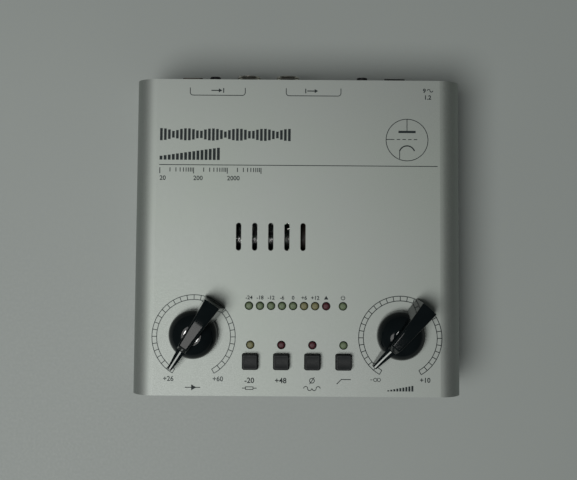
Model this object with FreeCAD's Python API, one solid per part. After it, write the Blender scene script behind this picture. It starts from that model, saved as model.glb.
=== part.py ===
"""Desktop valve microphone preamplifier, built as the separate pieces that it comes apart into.

A folded steel cover drops over a U-shaped steel tray. The tray carries the main circuit board, the
rear connectors and a valve lying on its side under the cover's vent slots. A second, smaller board
hangs from the two potentiometers under the front of the cover, and holds the key switches and lamps.

Millimetres. +X is to the user's right, +Y to the rear, +Z up. The origin is the middle of the
overall box at desk level. The controls are measured from the front edge, the connectors from the rear.
"""

import FreeCAD
import Part
import math
import os

from FreeCAD import Vector

# ---------------------------------------------------------------- driving sizes
# Case
case_width = 133.0
case_depth = 127.5
case_height = 40.0  # from the tray's underside to the top of the cover
sheet = 1.0  # steel thickness of cover and tray
bend_radius = 9.0  # outside radius of the cover's two long top edges
end_recess = 1.2  # the tray's end panels lie this far inside the cover's ends
fit_gap = 0.2  # clearance between cover and tray, and round parts in holes
lip_depth = 6.0  # return lips at the top of the tray's end panels
flange_height = 14.0  # upturned side flanges of the tray
rear_reach = 5.0  # how far the jacks stand out behind the cover

# Feet
foot_height = 3.0
foot_radius = 6.0
foot_inset = 13.0

# Side screws and machine screws
screw_radius = 1.5
screw_head_radius = 2.8
screw_head_height = 1.7
side_screw_rise = 8.0  # above the tray's underside
side_screw_inset = 22.0  # from the front and rear edges

# Boards
board_thickness = 1.6
standoff_height = 5.0
standoff_radius = 2.75
board_margin = 6.5  # from the case side to the main board's edge
control_drop = 10.5  # from the cover's underside to the control board's top

# Control layout, measured from the case's middle and from its front edge
knob_offset = 41.4
knob_row = 24.5
key_pitch = 12.45
key_row = 13.7
status_row = 20.3
meter_row = 35.85
meter_pitch = 4.425
meter_shift = -0.65  # of the meter's first lamp, from the first key's middle
power_lamp_shift = -0.28  # from the last key's middle
meter_count = 8
vent_centre_x = -10.8
vent_row = 63.5
vent_pitch = 6.5
vent_count = 5
vent_width = 2.1
vent_end_round = 0.499  # of the width, just short of a full half-round end
vent_length = 11.2

# Knobs, with heights above the skirt's underside and lengths from the knob's axis
knob_gap = 0.8  # running gap between skirt and cover
skirt_radius = 9.7
skirt_edge = 1.0
crown_radius = 3.8  # flat top of the bell-shaped hub, under the lever
bell_bulge = 0.7  # how far the bell's flank swells, 0.5 being a straight cone
hub_height = 8.9
lever_height = 13.8
lever_tail = 15.4
lever_nose = 16.5
lever_lift = 0.6  # from the skirt's underside to the lever's
lever_waist = 4.4
lever_neck = 8.0
lever_foot_halves = (4.85, 3.5, 2.15, 0.95)  # half widths at tail, waist, neck and tip
lever_crest_halves = (3.15, 2.0, 1.25, 0.5)
lever_tail_slant = 0.15  # how far the two ends lean in at the top
lever_nose_slant = 0.2
lever_tail_drop = 1.5  # how far the back falls below its full height, at the tail, at the highest
lever_hump_drop = 0.1  # part of the hump and at the step down to the beak
lever_step_drop = 0.9
lever_hump = 5.0
lever_step_top = 5.2
lever_step_foot = 7.0
lever_crest_round = 0.9
lever_tail_round = 0.3
beak_root_drop = 0.2  # below the hub's height
beak_middle = 11.5
beak_middle_height = 5.9
beak_tip_height = 3.4
pointer_width = 0.6
pointer_depth = 0.35
pointer_start = 7.3
pointer_end_margin = 0.25
shaft_fit = 0.02  # between a shaft and what presses on it
nut_room_gap = 0.8  # between the potentiometer's nut and the knob's underside
gain_angle = 146.6  # both pointers are turned anticlockwise from straight back by this, in degrees
output_angle = 139.1

# Potentiometers
pot_width = 16.0
pot_corner = 1.2
pot_floor = 2.0  # under the shaft
pot_bushing_wall = 0.5
pot_bushing_reach = 4.0  # above the cover
shaft_radius = 3.0
shaft_reach = 9.5  # above the cover
shaft_flat = 1.65  # from the axis to the flat at the shaft's end
shaft_flat_start = 0.5  # above the bushing
running_gap = 0.05
pot_nut_wall = 1.5  # from the bushing to the nut's flats
washer_rim = 0.3
pot_nut_height = 2.0
washer_thickness = 0.5

# Keys and their switches
key_width = 6.1
key_window_gap = 0.25
key_rise = 3.0  # above the cover
key_height = 5.5
key_travel = 2.0
key_corner = 0.7
key_round = 0.45
key_dish = 0.35
key_roof = 2.0  # from the cap's top to its plunger
plunger_width = 3.0
plunger_gap = 0.15
plunger_overtravel = 0.3
switch_width = 8.4
switch_height = 6.5
switch_floor = 0.7
switch_corner = 0.6
window_corner = 0.8

# Lamps
lamp_radius = 1.5
lamp_hole_gap = 0.22
lamp_rise = 0.55
lamp_round = 0.93
lamp_flange = 0.4
lamp_flange_height = 1.0
lamp_length = 4.6
lead_offset = 0.9
lead_width = 0.5
lead_bore = 0.45

# XLR sockets
xlr_input_x = -44.0
xlr_output_x = 17.0
xlr_rise = 12.4  # centre above the main board
xlr_mouth_radius = 9.65
xlr_wall = 2.15
xlr_mouth_depth = 12.0
xlr_insert_radius = 7.6
xlr_flange_width = 26.0
xlr_flange_height = 31.0
xlr_flange_thickness = 2.6
xlr_flange_corner = 2.0
xlr_face_stand = 0.4  # how far the barrel stands out of the rear panel
xlr_body_width = 24.0
xlr_body_top = 14.4  # above the centre
xlr_body_depth = 18.0
xlr_screw_x = 9.5
xlr_screw_z = 12.0
xlr_screw_depth = 6.0
xlr_screw_head_radius = 2.2  # socket-head screws, taller than the cover's
xlr_screw_head_height = 3.5
xlr_screw_head_round = 0.3
xlr_screw_socket = 2.5  # across its flats
xlr_screw_socket_depth = 1.6
xlr_insert_recess = 0.6
xlr_insert_round = 0.5
xlr_key_half = 1.2
xlr_key_low = 6.4  # above the centre
xlr_key_high = 9.0
xlr_key_floor = 3.0  # from the insert's foot
contact_circle = 4.1
contact_angles = (150, 30, 270)
contact_floor = 2.0  # from the insert's foot to its sleeves
contact_length = 6.5
contact_web = 1.0
xlr_pin_radius = 1.2
xlr_pin_round = 0.7
xlr_pin_recess = 1.8

# Latch of the XLR input
latch_width = 8.2
latch_thickness = 1.3
latch_reach = 3.1
latch_side_gap = 0.4
latch_panel_gap = 0.6
latch_pivot_depth = 5.0  # inside the rear face
latch_pivot_rise = 10.75  # above the centre
latch_pin_radius = 0.7
latch_pin_reach = 1.3
latch_lever_depth = 9.0
latch_tab_start = 1.2
latch_tab_rise = 1.0
latch_tab_round = 0.9
latch_hook_inset = 2.0
latch_hook_drop = 1.2
latch_hook_flat = 0.8
latch_hook_ramp = 2.0
latch_slot_depth = 11.0
latch_slot_low = 8.0  # above the centre
latch_slot_high = 12.6
latch_notch_gap = 1.3

# Jack sockets
jack_input_x = -21.1
jack_output_x = -4.4
jack_rise = 10.4
jack_width = 15.6
jack_body_top = 7.6  # above the bore's axis
jack_corner = 0.6
jack_depth = 25.0
jack_bore_radius = 3.25
jack_mouth_chamfer = 0.5
jack_bushing_wall = 1.45
jack_chamber_half_width = 6.0
jack_chamber_half_height = 3.6
jack_back_wall = 1.5
jack_sleeve = 12.5  # plain bore before the spring chamber
jack_nut_wall = 1.3  # from the bushing to the nut's flats
jack_nut_height = 2.4
jack_nut_bevel = 0.3
leaf_half_height = 2.0
leaf_thickness = 0.45
leaf_preload = 0.25  # how far outside the bore the leaf's bow stands
leaf_tail = 0.8
leaf_root = 1.0
leaf_places = ((-1, 3.0, 4.0), (1, 7.0, 1.5))  # side, then margins at the back and at the mouth

# Power switch, whose rocker tips up and down
rocker_x = 40.9
rocker_frame_lap = 0.7  # of the frame over the panel, outside the box
rocker_frame_face = 1.0
rocker_frame_round = 0.4
rocker_box_wall = 0.6
rocker_box_depth = 11.0
rocker_radius = 6.3
rocker_width = 8.6
rocker_throw = 24.0
rocker_pivot_stand = 0.3  # outside the rear face
rocker_end_rise = 3.6  # from the pivot to the two ends of the vee face
rocker_vee_rise = 2.2
rocker_shoulder = 1.2  # below the pivot
rocker_keel = 2.6
rocker_keel_half = 2.2
rocker_pin_radius = 0.6
rocker_pin_reach = 0.4

# Low-voltage inlet
inlet_x = 52.3
inlet_rise = 9.0
inlet_body_half = 4.7
inlet_body_top = 5.0  # above the axis
inlet_nose_radius = 4.6
inlet_nose_stand = 0.3
inlet_bore_radius = 3.0
inlet_bore_depth = 9.5
inlet_pin_radius = 1.0
inlet_pin_recess = 1.0
inlet_pin_round = 0.6
inlet_depth = 14.0

# Valve
valve_radius = 11.1
valve_glass = 1.0
stem_gap = 0.1
valve_length = 42.0
valve_rise = 16.4  # axis above the main board
valve_base_x = 1.0
dome_share = 0.75  # of the radius, the length of the bulb's domed end
dome_middle = (0.3, 0.72)  # the dome's arc at mid-length, as shares of dome and radius
dome_tip_share = 0.12
nipple_tip_radius = 1.0
nipple_root_radius = 2.4
nipple_length = 3.2
nipple_stand = 2.0
stem_thickness = 3.0
socket_radius = 9.6
socket_flange_radius = 11.0
socket_flange_thickness = 2.0
socket_gap = 0.3
socket_thickness = 8.0
socket_centre_radius = 3.0
socket_centre_floor = 1.5
socket_hole_floor = 1.0
anode_front_gap = 6.5  # from the base to the nearer spacer
anode_length = 22.0
anode_offset = 4.4
anode_half_width = 3.6
anode_half_height = 3.4
anode_sheet = 0.4
anode_inner_corner = 1.5
anode_corner = 1.8
cathode_radius = 0.9
spacer_thickness = 0.5
valve_spacer_gap = 0.25
getter_ring_radius = 4.0
getter_wire_radius = 0.4
getter_leg_radius = 0.3
getter_stand = 3.0
valve_pin_circle = 5.95
valve_pin_radius = 0.5
valve_pin_gap = 0.12
valve_pin_inside = 5.0
valve_pin_outside = 6.0
valve_pins = 9
riser_half_width = 14.0
riser_top = 12.5  # above the valve's axis

# Screws, feet and boards
screw_head_round = 0.6  # shares of the head's height and radius
screw_cross_depth = 0.55
screw_cross_reach = 1.1
screw_cross_half = 0.4
screw_thread_gap = 0.05
screw_through = 2.0  # past the sheets it holds
foot_taper = 0.88
foot_round = 0.15
bend_share = 0.95  # of the sheet, the tray's rounded front and rear bends
panel_cut = 0.5  # how far a cutter passes each face of the rear panel
board_corner = 1.5
board_front_gap = 3.0
standoff_inset = 5.5
standoff_back_gap = 5.0  # in front of the XLR bodies
standoff_floor = 0.8
board_screw_spare = 1.2
control_side_margin = 2.0
control_front_margin = 1.8
control_back_margin = 2.2

# Link between the boards
link_pitch = 2.54
link_columns = 8
link_rows = 2
link_pin = 0.64
link_socket_height = 8.5
link_strip_height = 2.5
link_overlap = 6.0  # how far the pins stand in their sockets
link_well_gap = 0.15
link_well_floor = 1.0

# Parts on the main board
can_radius = 5.0
can_height = 16.0
can_pitch_x = 12.5
can_pitch_y = 13.0
can_first_y = 2.0  # behind the valve's axis
can_groove_rise = 2.5
can_groove_radius = 0.7
can_groove_stand = 0.3  # of the groove's centre outside the can
can_bay_gap = 12.0  # from the valve's upright board to the first can's axis
heatsink_gap = 24.5  # from the first can's axis to the heatsink
heatsink_y = 8.0  # behind the valve's axis
heatsink_height = 18.0
heatsink_half_length = 16.0
heatsink_web = 2.0
fin_reach = 6.0
fin_thickness = 1.5
fin_pitch = 6.0
fin_count = 6
regulator_ys = (-9.0, 3.0)  # from the heatsink's middle
regulator_width = 10.0
regulator_tab = 1.6
regulator_tab_top = 17.0
regulator_body_back = 0.6
regulator_body_front = 4.5
regulator_body_low = 4.0
regulator_body_high = 12.5
regulator_leg_ys = (1.7, 4.6, 7.5)
regulator_leg_width = 0.8
regulator_leg_near = 2.1
regulator_leg_far = 2.6
regulator_leg_lap = 0.5
chip_insets = (16.0, 34.0)  # from the control board's left and right edges
chip_row = 12.0  # behind the control board's front edge
chip_length = 9.6
chip_width = 6.4
chip_low = 0.6
chip_high = 4.2
chip_notch_radius = 1.0
chip_notch_depth = 0.6
chip_pitch = 2.54
chip_leg_offset = 3.45
chip_leg_width = 0.9
chip_leg_thickness = 0.6
chip_leg_height = 2.4
resistor_rows = 2
resistors_per_row = 9
resistor_first_x = 14.0  # from the control board's left edge
resistor_first_y = 25.0  # from its front edge
resistor_pitch_x = 9.5
resistor_pitch_y = 5.0
resistor_radius = 1.2
resistor_rise = 1.4
resistor_half_length = 3.0
resistor_leg_offset = 3.3
resistor_leg_half = 0.3
resistor_leg_height = 1.7
resistor_link_gap = 5.0
film_count = 5
film_first_x = 4.0  # from the valve's tip
film_gap_y = 5.0  # behind the valve
film_pitch = 9.0
film_length = 7.2
film_width = 4.6
film_height = 8.0
film_taller = 1.0

# ---------------------------------------------------------------- levels and edges that follow
half_width = case_width / 2
pot_bushing_radius = shaft_radius + pot_bushing_wall
pot_nut_width = 2 * (pot_bushing_radius + pot_nut_wall)
lamp_hole_radius = lamp_radius + lamp_hole_gap
spacer_radius = lamp_radius + lamp_flange
xlr_barrel_radius = xlr_mouth_radius + xlr_wall
jack_bushing_radius = jack_bore_radius + jack_bushing_wall
jack_nut_width = 2 * (jack_bushing_radius + jack_nut_wall)
y_front = -(case_depth + rear_reach) / 2
y_back = y_front + case_depth
z_under = foot_height
z_floor = z_under + sheet
z_top = z_under + case_height
z_ceiling = z_top - sheet
y_rear_face = y_back - end_recess
y_rear_inside = y_rear_face - sheet
y_front_face = y_front + end_recess
y_front_inside = y_front_face + sheet
tray_half = half_width - sheet - fit_gap
z_board_bottom = z_floor + standoff_height
z_board = z_board_bottom + board_thickness
board_half = half_width - board_margin
board_back = y_rear_inside - xlr_flange_thickness - 2 * fit_gap
board_front = y_front_inside + board_front_gap
z_control = z_ceiling - control_drop
z_control_bottom = z_control - board_thickness
y_knobs = y_front + knob_row
y_keys = y_front + key_row
y_status = y_front + status_row
y_meter = y_front + meter_row
y_vents = y_front + vent_row
key_xs = [key_pitch * (i - 1.5) for i in range(4)]
meter_xs = [key_xs[0] + meter_shift + meter_pitch * i for i in range(meter_count)]
z_xlr = z_board + xlr_rise
z_jack = z_board + jack_rise
z_inlet = z_board + inlet_rise
z_valve = z_board + valve_rise
y_valve = y_vents
z_skirt = z_top + knob_gap


# ---------------------------------------------------------------- simple shapes
def block(x0, x1, y0, y1, z0, z1):
    return Part.makeBox(x1 - x0, y1 - y0, z1 - z0, Vector(x0, y0, z0))


def centred(x, y, width, depth, z0, z1):
    return block(x - width / 2, x + width / 2, y - depth / 2, y + depth / 2, z0, z1)


def post(x, y, radius, z0, z1):
    return Part.makeCylinder(radius, z1 - z0, Vector(x, y, z0), Vector(0, 0, 1))


def rod_along_y(x, z, radius, y0, y1):
    return Part.makeCylinder(radius, y1 - y0, Vector(x, y0, z), Vector(0, 1, 0))


def rod_along_x(y, z, radius, x0, x1):
    return Part.makeCylinder(radius, x1 - x0, Vector(x0, y, z), Vector(1, 0, 0))


def prism(points, direction):
    """A closed polygon pushed along a direction."""
    corners = [Vector(*p) for p in points]
    return Part.Face(Part.makePolygon(corners + corners[:1])).extrude(Vector(*direction))


def hexagon(width, height):
    """A hexagonal prism standing on the origin, width across its flats."""
    corner = width / math.sqrt(3)
    points = [
        (corner * math.cos(math.radians(60 * i)), corner * math.sin(math.radians(60 * i)), 0)
        for i in range(6)
    ]
    return prism(points, (0, 0, height))


def join(first, *others):
    return first.multiFuse(list(others)).removeSplitter() if others else first


def upright_edges(shape):
    return [e for e in shape.Edges if is_along(e, Vector(0, 0, 1))]


def is_along(edge, direction):
    if not isinstance(edge.Curve, Part.Line):
        return False
    return abs(abs(edge.Curve.Direction.dot(direction)) - 1) < 1e-6


def rounded(x, y, width, depth, z0, z1, radius):
    """A block with rounded upright edges."""
    shape = centred(x, y, width, depth, z0, z1)
    return shape.makeFillet(radius, upright_edges(shape))


def group(solids):
    return Part.makeCompound(list(solids))


def arch(half, z_low, z_high, radius, y0, y1):
    """A flat-bottomed block with its two long top edges rounded, running from y0 to y1."""
    left, right = Vector(-half, y0, z_low), Vector(half, y0, z_low)
    slant = radius * (1 - math.sqrt(0.5))
    edges = [
        Part.makeLine(left, right),
        Part.makeLine(right, Vector(half, y0, z_high - radius)),
        Part.Arc(
            Vector(half, y0, z_high - radius),
            Vector(half - slant, y0, z_high - slant),
            Vector(half - radius, y0, z_high),
        ).toShape(),
        Part.makeLine(Vector(half - radius, y0, z_high), Vector(radius - half, y0, z_high)),
        Part.Arc(
            Vector(radius - half, y0, z_high),
            Vector(slant - half, y0, z_high - slant),
            Vector(-half, y0, z_high - radius),
        ).toShape(),
        Part.makeLine(Vector(-half, y0, z_high - radius), left),
    ]
    return Part.Face(Part.Wire(edges)).extrude(Vector(0, y1 - y0, 0))


def pan_screw(length):
    """A pan-head machine screw at the origin, its shank pointing down and its head above."""
    head = Part.makeCylinder(screw_head_radius, screw_head_height)
    top = [e for e in head.Edges if abs(e.CenterOfMass.z - screw_head_height) < 1e-6]
    head = head.makeFillet(screw_head_round * screw_head_height, top)
    reach = screw_cross_reach * screw_head_radius
    low = screw_head_height * (1 - screw_cross_depth)
    arms = [
        centred(0, 0, 2 * screw_cross_half, reach, low, screw_head_height),
        centred(0, 0, reach, 2 * screw_cross_half, low, screw_head_height),
    ]
    shank = post(0, 0, screw_radius - screw_thread_gap, -length, 0)
    return join(head, shank).cut(arms)


def moved(shape, x, y, z):
    copy = shape.copy()
    copy.translate(Vector(x, y, z))
    return copy


def turned(shape, axis, degrees):
    copy = shape.copy()
    copy.rotate(Vector(0, 0, 0), Vector(*axis), degrees)
    return copy


# ---------------------------------------------------------------- case
def side_screw_ys():
    return [y_front + side_screw_inset, y_back - side_screw_inset]


def lamp_places():
    """Every lamp as (x, y, colour): the level meter, the power lamp, then one lamp over each key."""
    meter_colours = ["green"] * 5 + ["yellow"] * 2 + ["red"]
    places = [(x, y_meter, colour) for x, colour in zip(meter_xs, meter_colours)]
    places.append((key_xs[3] + power_lamp_shift, y_meter, "green"))
    status_colours = ["yellow", "red", "red", "green"]
    return places + [(x, y_status, colour) for x, colour in zip(key_xs, status_colours)]


def vent_xs():
    return [vent_centre_x + vent_pitch * (i - (vent_count - 1) / 2) for i in range(vent_count)]


def make_top_cover():
    outer = arch(half_width, z_under, z_top, bend_radius, y_front, y_back)
    inner = arch(
        half_width - sheet, z_under - 1, z_ceiling, bend_radius - sheet, y_front - 1, y_back + 1
    )
    z0, z1 = z_ceiling - 1, z_top + 1
    openings = [
        rounded(x, y_vents, vent_width, vent_length, z0, z1, vent_end_round * vent_width) for x in vent_xs()
    ]
    openings += [post(x, y, lamp_hole_radius, z0, z1) for x, y, _ in lamp_places()]
    window = key_width + 2 * key_window_gap
    openings += [rounded(x, y_keys, window, window, z0, z1, window_corner) for x in key_xs]
    openings += [
        post(side * knob_offset, y_knobs, pot_bushing_radius + fit_gap, z0, z1) for side in (-1, 1)
    ]
    openings += [
        rod_along_x(y, z_under + side_screw_rise, screw_radius + fit_gap, -half_width - 1, half_width + 1)
        for y in side_screw_ys()
    ]
    return outer.cut(inner).cut(openings)


def make_bottom_tray():
    top = z_ceiling - fit_gap
    corner = bend_radius - sheet - fit_gap
    floor = block(-tray_half, tray_half, y_front_face, y_rear_face, z_under, z_floor)
    panels = [
        arch(tray_half, z_under, top, corner, y0, y0 + sheet) for y0 in (y_front_face, y_rear_inside)
    ]
    lip_half = tray_half - corner
    lips = [
        block(-lip_half, lip_half, y_front_face, y_front_face + lip_depth, top - sheet, top),
        block(-lip_half, lip_half, y_rear_face - lip_depth, y_rear_face, top - sheet, top),
    ]
    flanges = [
        block(side, side + sheet, y_front_face, y_rear_face, z_under, z_under + flange_height)
        for side in (-tray_half, tray_half - sheet)
    ]
    tray = join(floor, *panels, *lips, *flanges)
    bends = [
        e
        for e in tray.Edges
        if is_along(e, Vector(1, 0, 0))
        and abs(e.CenterOfMass.z - z_under) < 1e-6
        and min(abs(e.CenterOfMass.y - y_front_face), abs(e.CenterOfMass.y - y_rear_face)) < 1e-6
    ]
    tray = tray.makeFillet(bend_share * sheet, bends)
    return tray.cut(rear_panel_holes() + tray_screw_holes())


def tray_screw_holes():
    return [
        rod_along_x(y, z_under + side_screw_rise, screw_radius, -half_width, half_width)
        for y in side_screw_ys()
    ]


def xlr_screw_places():
    """Each XLR socket is held by two screws, high on one side and low on the other."""
    return [
        (x + side * xlr_screw_x, z_xlr + side * xlr_screw_z)
        for x in (xlr_input_x, xlr_output_x)
        for side in (-1, 1)
    ]


def rear_panel_holes():
    y0, y1 = y_rear_inside - panel_cut, y_rear_face + panel_cut
    holes = [
        rod_along_y(x, z_xlr, xlr_barrel_radius + fit_gap, y0, y1)
        for x in (xlr_input_x, xlr_output_x)
    ]
    notch_half = latch_width / 2 + latch_panel_gap
    notch_top = z_xlr + xlr_barrel_radius + latch_notch_gap
    holes.append(block(xlr_input_x - notch_half, xlr_input_x + notch_half, y0, y1, z_xlr, notch_top))
    holes += [rod_along_y(x, z, screw_radius + fit_gap, y0, y1) for x, z in xlr_screw_places()]
    holes += [
        rod_along_y(x, z_jack, jack_bushing_radius + fit_gap, y0, y1)
        for x in (jack_input_x, jack_output_x)
    ]
    half_x, half_z = (half + fit_gap for half in rocker_box())
    holes.append(block(rocker_x - half_x, rocker_x + half_x, y0, y1, z_xlr - half_z, z_xlr + half_z))
    holes.append(rod_along_y(inlet_x, z_inlet, inlet_nose_radius + fit_gap, y0, y1))
    return holes


def make_cover_screws():
    screw = pan_screw(2 * sheet + fit_gap + screw_through)
    z = z_under + side_screw_rise
    right = [moved(turned(screw, (0, 1, 0), 90), half_width, y, z) for y in side_screw_ys()]
    left = [moved(turned(screw, (0, 1, 0), -90), -half_width, y, z) for y in side_screw_ys()]
    return group(right + left)


def make_rubber_feet():
    feet = []
    for x in (-half_width + foot_inset, half_width - foot_inset):
        for y in (y_front + foot_inset, y_back - foot_inset):
            foot = Part.makeCone(foot_taper * foot_radius, foot_radius, foot_height, Vector(x, y, 0))
            rim = [e for e in foot.Edges if abs(e.CenterOfMass.z) < 1e-6]
            feet.append(foot.makeFillet(foot_round * foot_height, rim))
    return group(feet)


# ---------------------------------------------------------------- boards
def standoff_places():
    x = board_half - standoff_inset
    front = board_front + standoff_inset
    back = y_rear_inside - xlr_flange_thickness - xlr_body_depth - standoff_back_gap
    return [(-x, front), (-x, back), (x, front), (x, back)]


def make_main_board():
    board = rounded(
        0,
        (board_front + board_back) / 2,
        2 * board_half,
        board_back - board_front,
        z_board_bottom,
        z_board,
        board_corner,
    )
    holes = [
        post(x, y, screw_radius + fit_gap, z_board_bottom - 1, z_board + 1)
        for x, y in standoff_places()
    ]
    return board.cut(holes)


def make_board_standoffs():
    posts = []
    for x, y in standoff_places():
        body = moved(hexagon(2 * standoff_radius, standoff_height), x, y, z_floor)
        posts.append(body.cut(post(x, y, screw_radius, z_floor + standoff_floor, z_board_bottom)))
    return group(posts)


def make_board_screws():
    screw = pan_screw(board_thickness + standoff_height - board_screw_spare)
    return group(moved(screw, x, y, z_board) for x, y in standoff_places())


def control_board_edges():
    """Left, right, front and back edges of the control board."""
    half = knob_offset + pot_width / 2 + control_side_margin
    front = y_keys - switch_width / 2 - control_front_margin
    return -half, half, front, y_meter + spacer_radius + control_back_margin


def make_control_board():
    left, right, front, back = control_board_edges()
    middle = (front + back) / 2
    width, depth = right - left, back - front
    return rounded(0, middle, width, depth, z_control_bottom, z_control, board_corner)


def link_places():
    """The board-to-board link stands between the lamp rows, in two rows of contacts."""
    y_link = (y_status + y_meter) / 2
    return [
        (link_pitch * (i - (link_columns - 1) / 2), y_link + link_pitch * (j - (link_rows - 1) / 2))
        for i in range(link_columns)
        for j in range(link_rows)
    ]


def link_block(z0, z1):
    y_link = (y_status + y_meter) / 2
    return centred(0, y_link, link_pitch * link_columns, link_pitch * link_rows, z0, z1)


def make_link_housings():
    """The socket on the main board and the pin strip under the control board."""
    top = z_board + link_socket_height
    well_width = link_pin + 2 * link_well_gap
    well_low = z_board + link_well_floor
    wells = [centred(x, y, well_width, well_width, well_low, top + 1) for x, y in link_places()]
    socket = link_block(z_board, top).cut(wells)
    bottom = z_control_bottom - link_strip_height
    holes = [
        centred(x, y, link_pin, link_pin, bottom - 1, z_control_bottom + 1) for x, y in link_places()
    ]
    strip = link_block(bottom, z_control_bottom).cut(holes)
    return group([socket, strip])


def make_link_pins():
    low = z_board + link_socket_height - link_overlap
    return group(
        centred(x, y, link_pin, link_pin, low, z_control_bottom) for x, y in link_places()
    )


# ---------------------------------------------------------------- knobs and potentiometers
def make_pot_body(x):
    """Potentiometer case with its threaded bushing. The shaft turns in a through bore."""
    case = rounded(x, y_knobs, pot_width, pot_width, z_control, z_ceiling, pot_corner)
    bushing = post(x, y_knobs, pot_bushing_radius, z_ceiling, z_top + pot_bushing_reach)
    bore = post(
        x, y_knobs, shaft_radius + running_gap, z_control + pot_floor, z_top + pot_bushing_reach + 1
    )
    return join(case, bushing).cut(bore)


def make_pot_shaft(x, angle):
    """Round shaft with a flat at its upper end, which lies square to the pointer."""
    bottom = z_control + pot_floor + running_gap
    top = z_top + shaft_reach
    half = 2 * shaft_radius
    shaft = post(0, 0, shaft_radius, bottom, top)
    flat = block(-half, half, shaft_flat, half, z_top + pot_bushing_reach + shaft_flat_start, top + 1)
    return placed_on_knob_axis(shaft.cut(flat), x, angle)


def placed_on_knob_axis(shape, x, angle):
    """Turns a shape made with its pointer along +Y to its angle, and sets it on the knob's axis."""
    return moved(turned(shape, (0, 0, 1), angle), x, y_knobs, 0)


def lever_outline(halves, tail, nose, z):
    """Plan of the lever at height z: a blunt tail, a waist, a neck and a narrow nose."""
    right = list(zip(halves, (-tail, lever_waist, lever_neck, nose)))
    points = [Vector(x, y, z) for x, y in right] + [Vector(-x, y, z) for x, y in reversed(right)]
    return Part.makePolygon(points + points[:1])


def lever_side():
    """Side view of the lever as a slab: a humped back, a step down, and a beak that falls to its tip."""
    start, end = -lever_tail - 1, lever_nose + 1
    tail_top = Vector(0, start, lever_height - lever_tail_drop)
    step_top = Vector(0, lever_step_top, lever_height - lever_step_drop)
    step_foot = Vector(0, lever_step_foot, hub_height - beak_root_drop)
    tip_top = Vector(0, end, beak_tip_height)
    tip_foot, tail_foot = Vector(0, end, lever_lift), Vector(0, start, lever_lift)
    hump = Vector(0, -lever_hump, lever_height - lever_hump_drop)
    path = [
        Part.Arc(tail_top, hump, step_top).toShape(),
        Part.makeLine(step_top, step_foot),
        Part.Arc(step_foot, Vector(0, beak_middle, beak_middle_height), tip_top).toShape(),
        Part.makeLine(tip_top, tip_foot),
        Part.makeLine(tip_foot, tail_foot),
        Part.makeLine(tail_foot, tail_top),
    ]
    side = Part.Face(Part.Wire(path)).extrude(Vector(2 * skirt_radius, 0, 0))
    side.translate(Vector(-skirt_radius, 0, 0))
    return side


def make_lever():
    """The tall finger bar: narrower at its top than its foot, with a humped back and a beak."""
    foot = lever_outline(lever_foot_halves, lever_tail, lever_nose, 0.0)
    crest = lever_outline(
        lever_crest_halves, lever_tail - lever_tail_slant, lever_nose - lever_nose_slant, lever_height
    )
    bar = Part.makeLoft([foot, crest], True, True).common(lever_side())
    lowest_crest = lever_height - lever_tail_drop - lever_crest_round
    tail_zone = lever_tail_round - lever_tail
    crest_edges = [e for e in bar.Edges if e.CenterOfMass.z > lowest_crest]
    bar = bar.makeFillet(lever_crest_round, [e for e in crest_edges if e.CenterOfMass.y > 1 - lever_tail])
    tail_edges = [
        e for e in bar.Edges if e.CenterOfMass.z > lowest_crest and e.CenterOfMass.y < tail_zone
    ]
    return bar.makeFillet(lever_tail_round, tail_edges)


def make_knob_blank():
    """Bell-shaped hub and lever in one moulding, standing on the origin, before its bore is cut."""
    rim_top = Vector(skirt_radius, 0, skirt_edge)
    crown_edge = Vector(crown_radius, 0, hub_height)
    bulge = Vector(
        crown_radius + bell_bulge * (skirt_radius - crown_radius),
        0,
        skirt_edge + bell_bulge * (hub_height - skirt_edge),
    )
    profile = [
        Part.makeLine(Vector(0, 0, 0), Vector(skirt_radius, 0, 0)),
        Part.makeLine(Vector(skirt_radius, 0, 0), rim_top),
        Part.Arc(rim_top, bulge, crown_edge).toShape(),
        Part.makeLine(crown_edge, Vector(0, 0, hub_height)),
        Part.makeLine(Vector(0, 0, hub_height), Vector(0, 0, 0)),
    ]
    bell = Part.Face(Part.Wire(profile)).revolve(Vector(0, 0, 0), Vector(0, 0, 1), 360)
    return join(bell, make_lever())


def make_pointer_line(blank):
    """White line let into the beak, from the foot of the lever's step to its tip."""
    half = pointer_width / 2
    end = lever_nose - pointer_end_margin
    strip = block(-half, half, pointer_start, end, lever_lift + pointer_depth, hub_height)
    lowered = moved(blank, 0, 0, -pointer_depth)
    return blank.common(strip).cut(lowered)


def knob_pieces(x, angle):
    """The moulded knob and its inlaid line, on the shaft at x."""
    blank = make_knob_blank()
    line = make_pointer_line(blank)
    half = 2 * shaft_radius
    nut_room = post(0, 0, pot_nut_width / math.sqrt(3) + nut_room_gap, -1, pot_bushing_reach)
    bore_top = z_top + shaft_reach + fit_gap - z_skirt
    bore = post(0, 0, shaft_radius + shaft_fit, 0, bore_top)
    flat = block(-half, half, shaft_flat + shaft_fit, half, pot_bushing_reach, bore_top + 1)
    knob = blank.cut([line, nut_room, bore.cut(flat)])
    return [placed_on_knob_axis(moved(s, 0, 0, z_skirt), x, angle) for s in (knob, line)]


def make_pot_nuts():
    """A washer and a nut on each bushing clamp the cover to the potentiometer."""
    nuts = []
    z_nut = z_top + washer_thickness
    for x in (-knob_offset, knob_offset):
        washer = post(x, y_knobs, pot_nut_width / 2 + washer_rim, z_top, z_nut)
        nut = moved(hexagon(pot_nut_width, pot_nut_height), x, y_knobs, z_nut)
        hole = post(x, y_knobs, pot_bushing_radius + shaft_fit, z_top - 1, z_nut + pot_nut_height + 1)
        nuts += [washer.cut(hole), nut.cut(hole)]
    return group(nuts)


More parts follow.
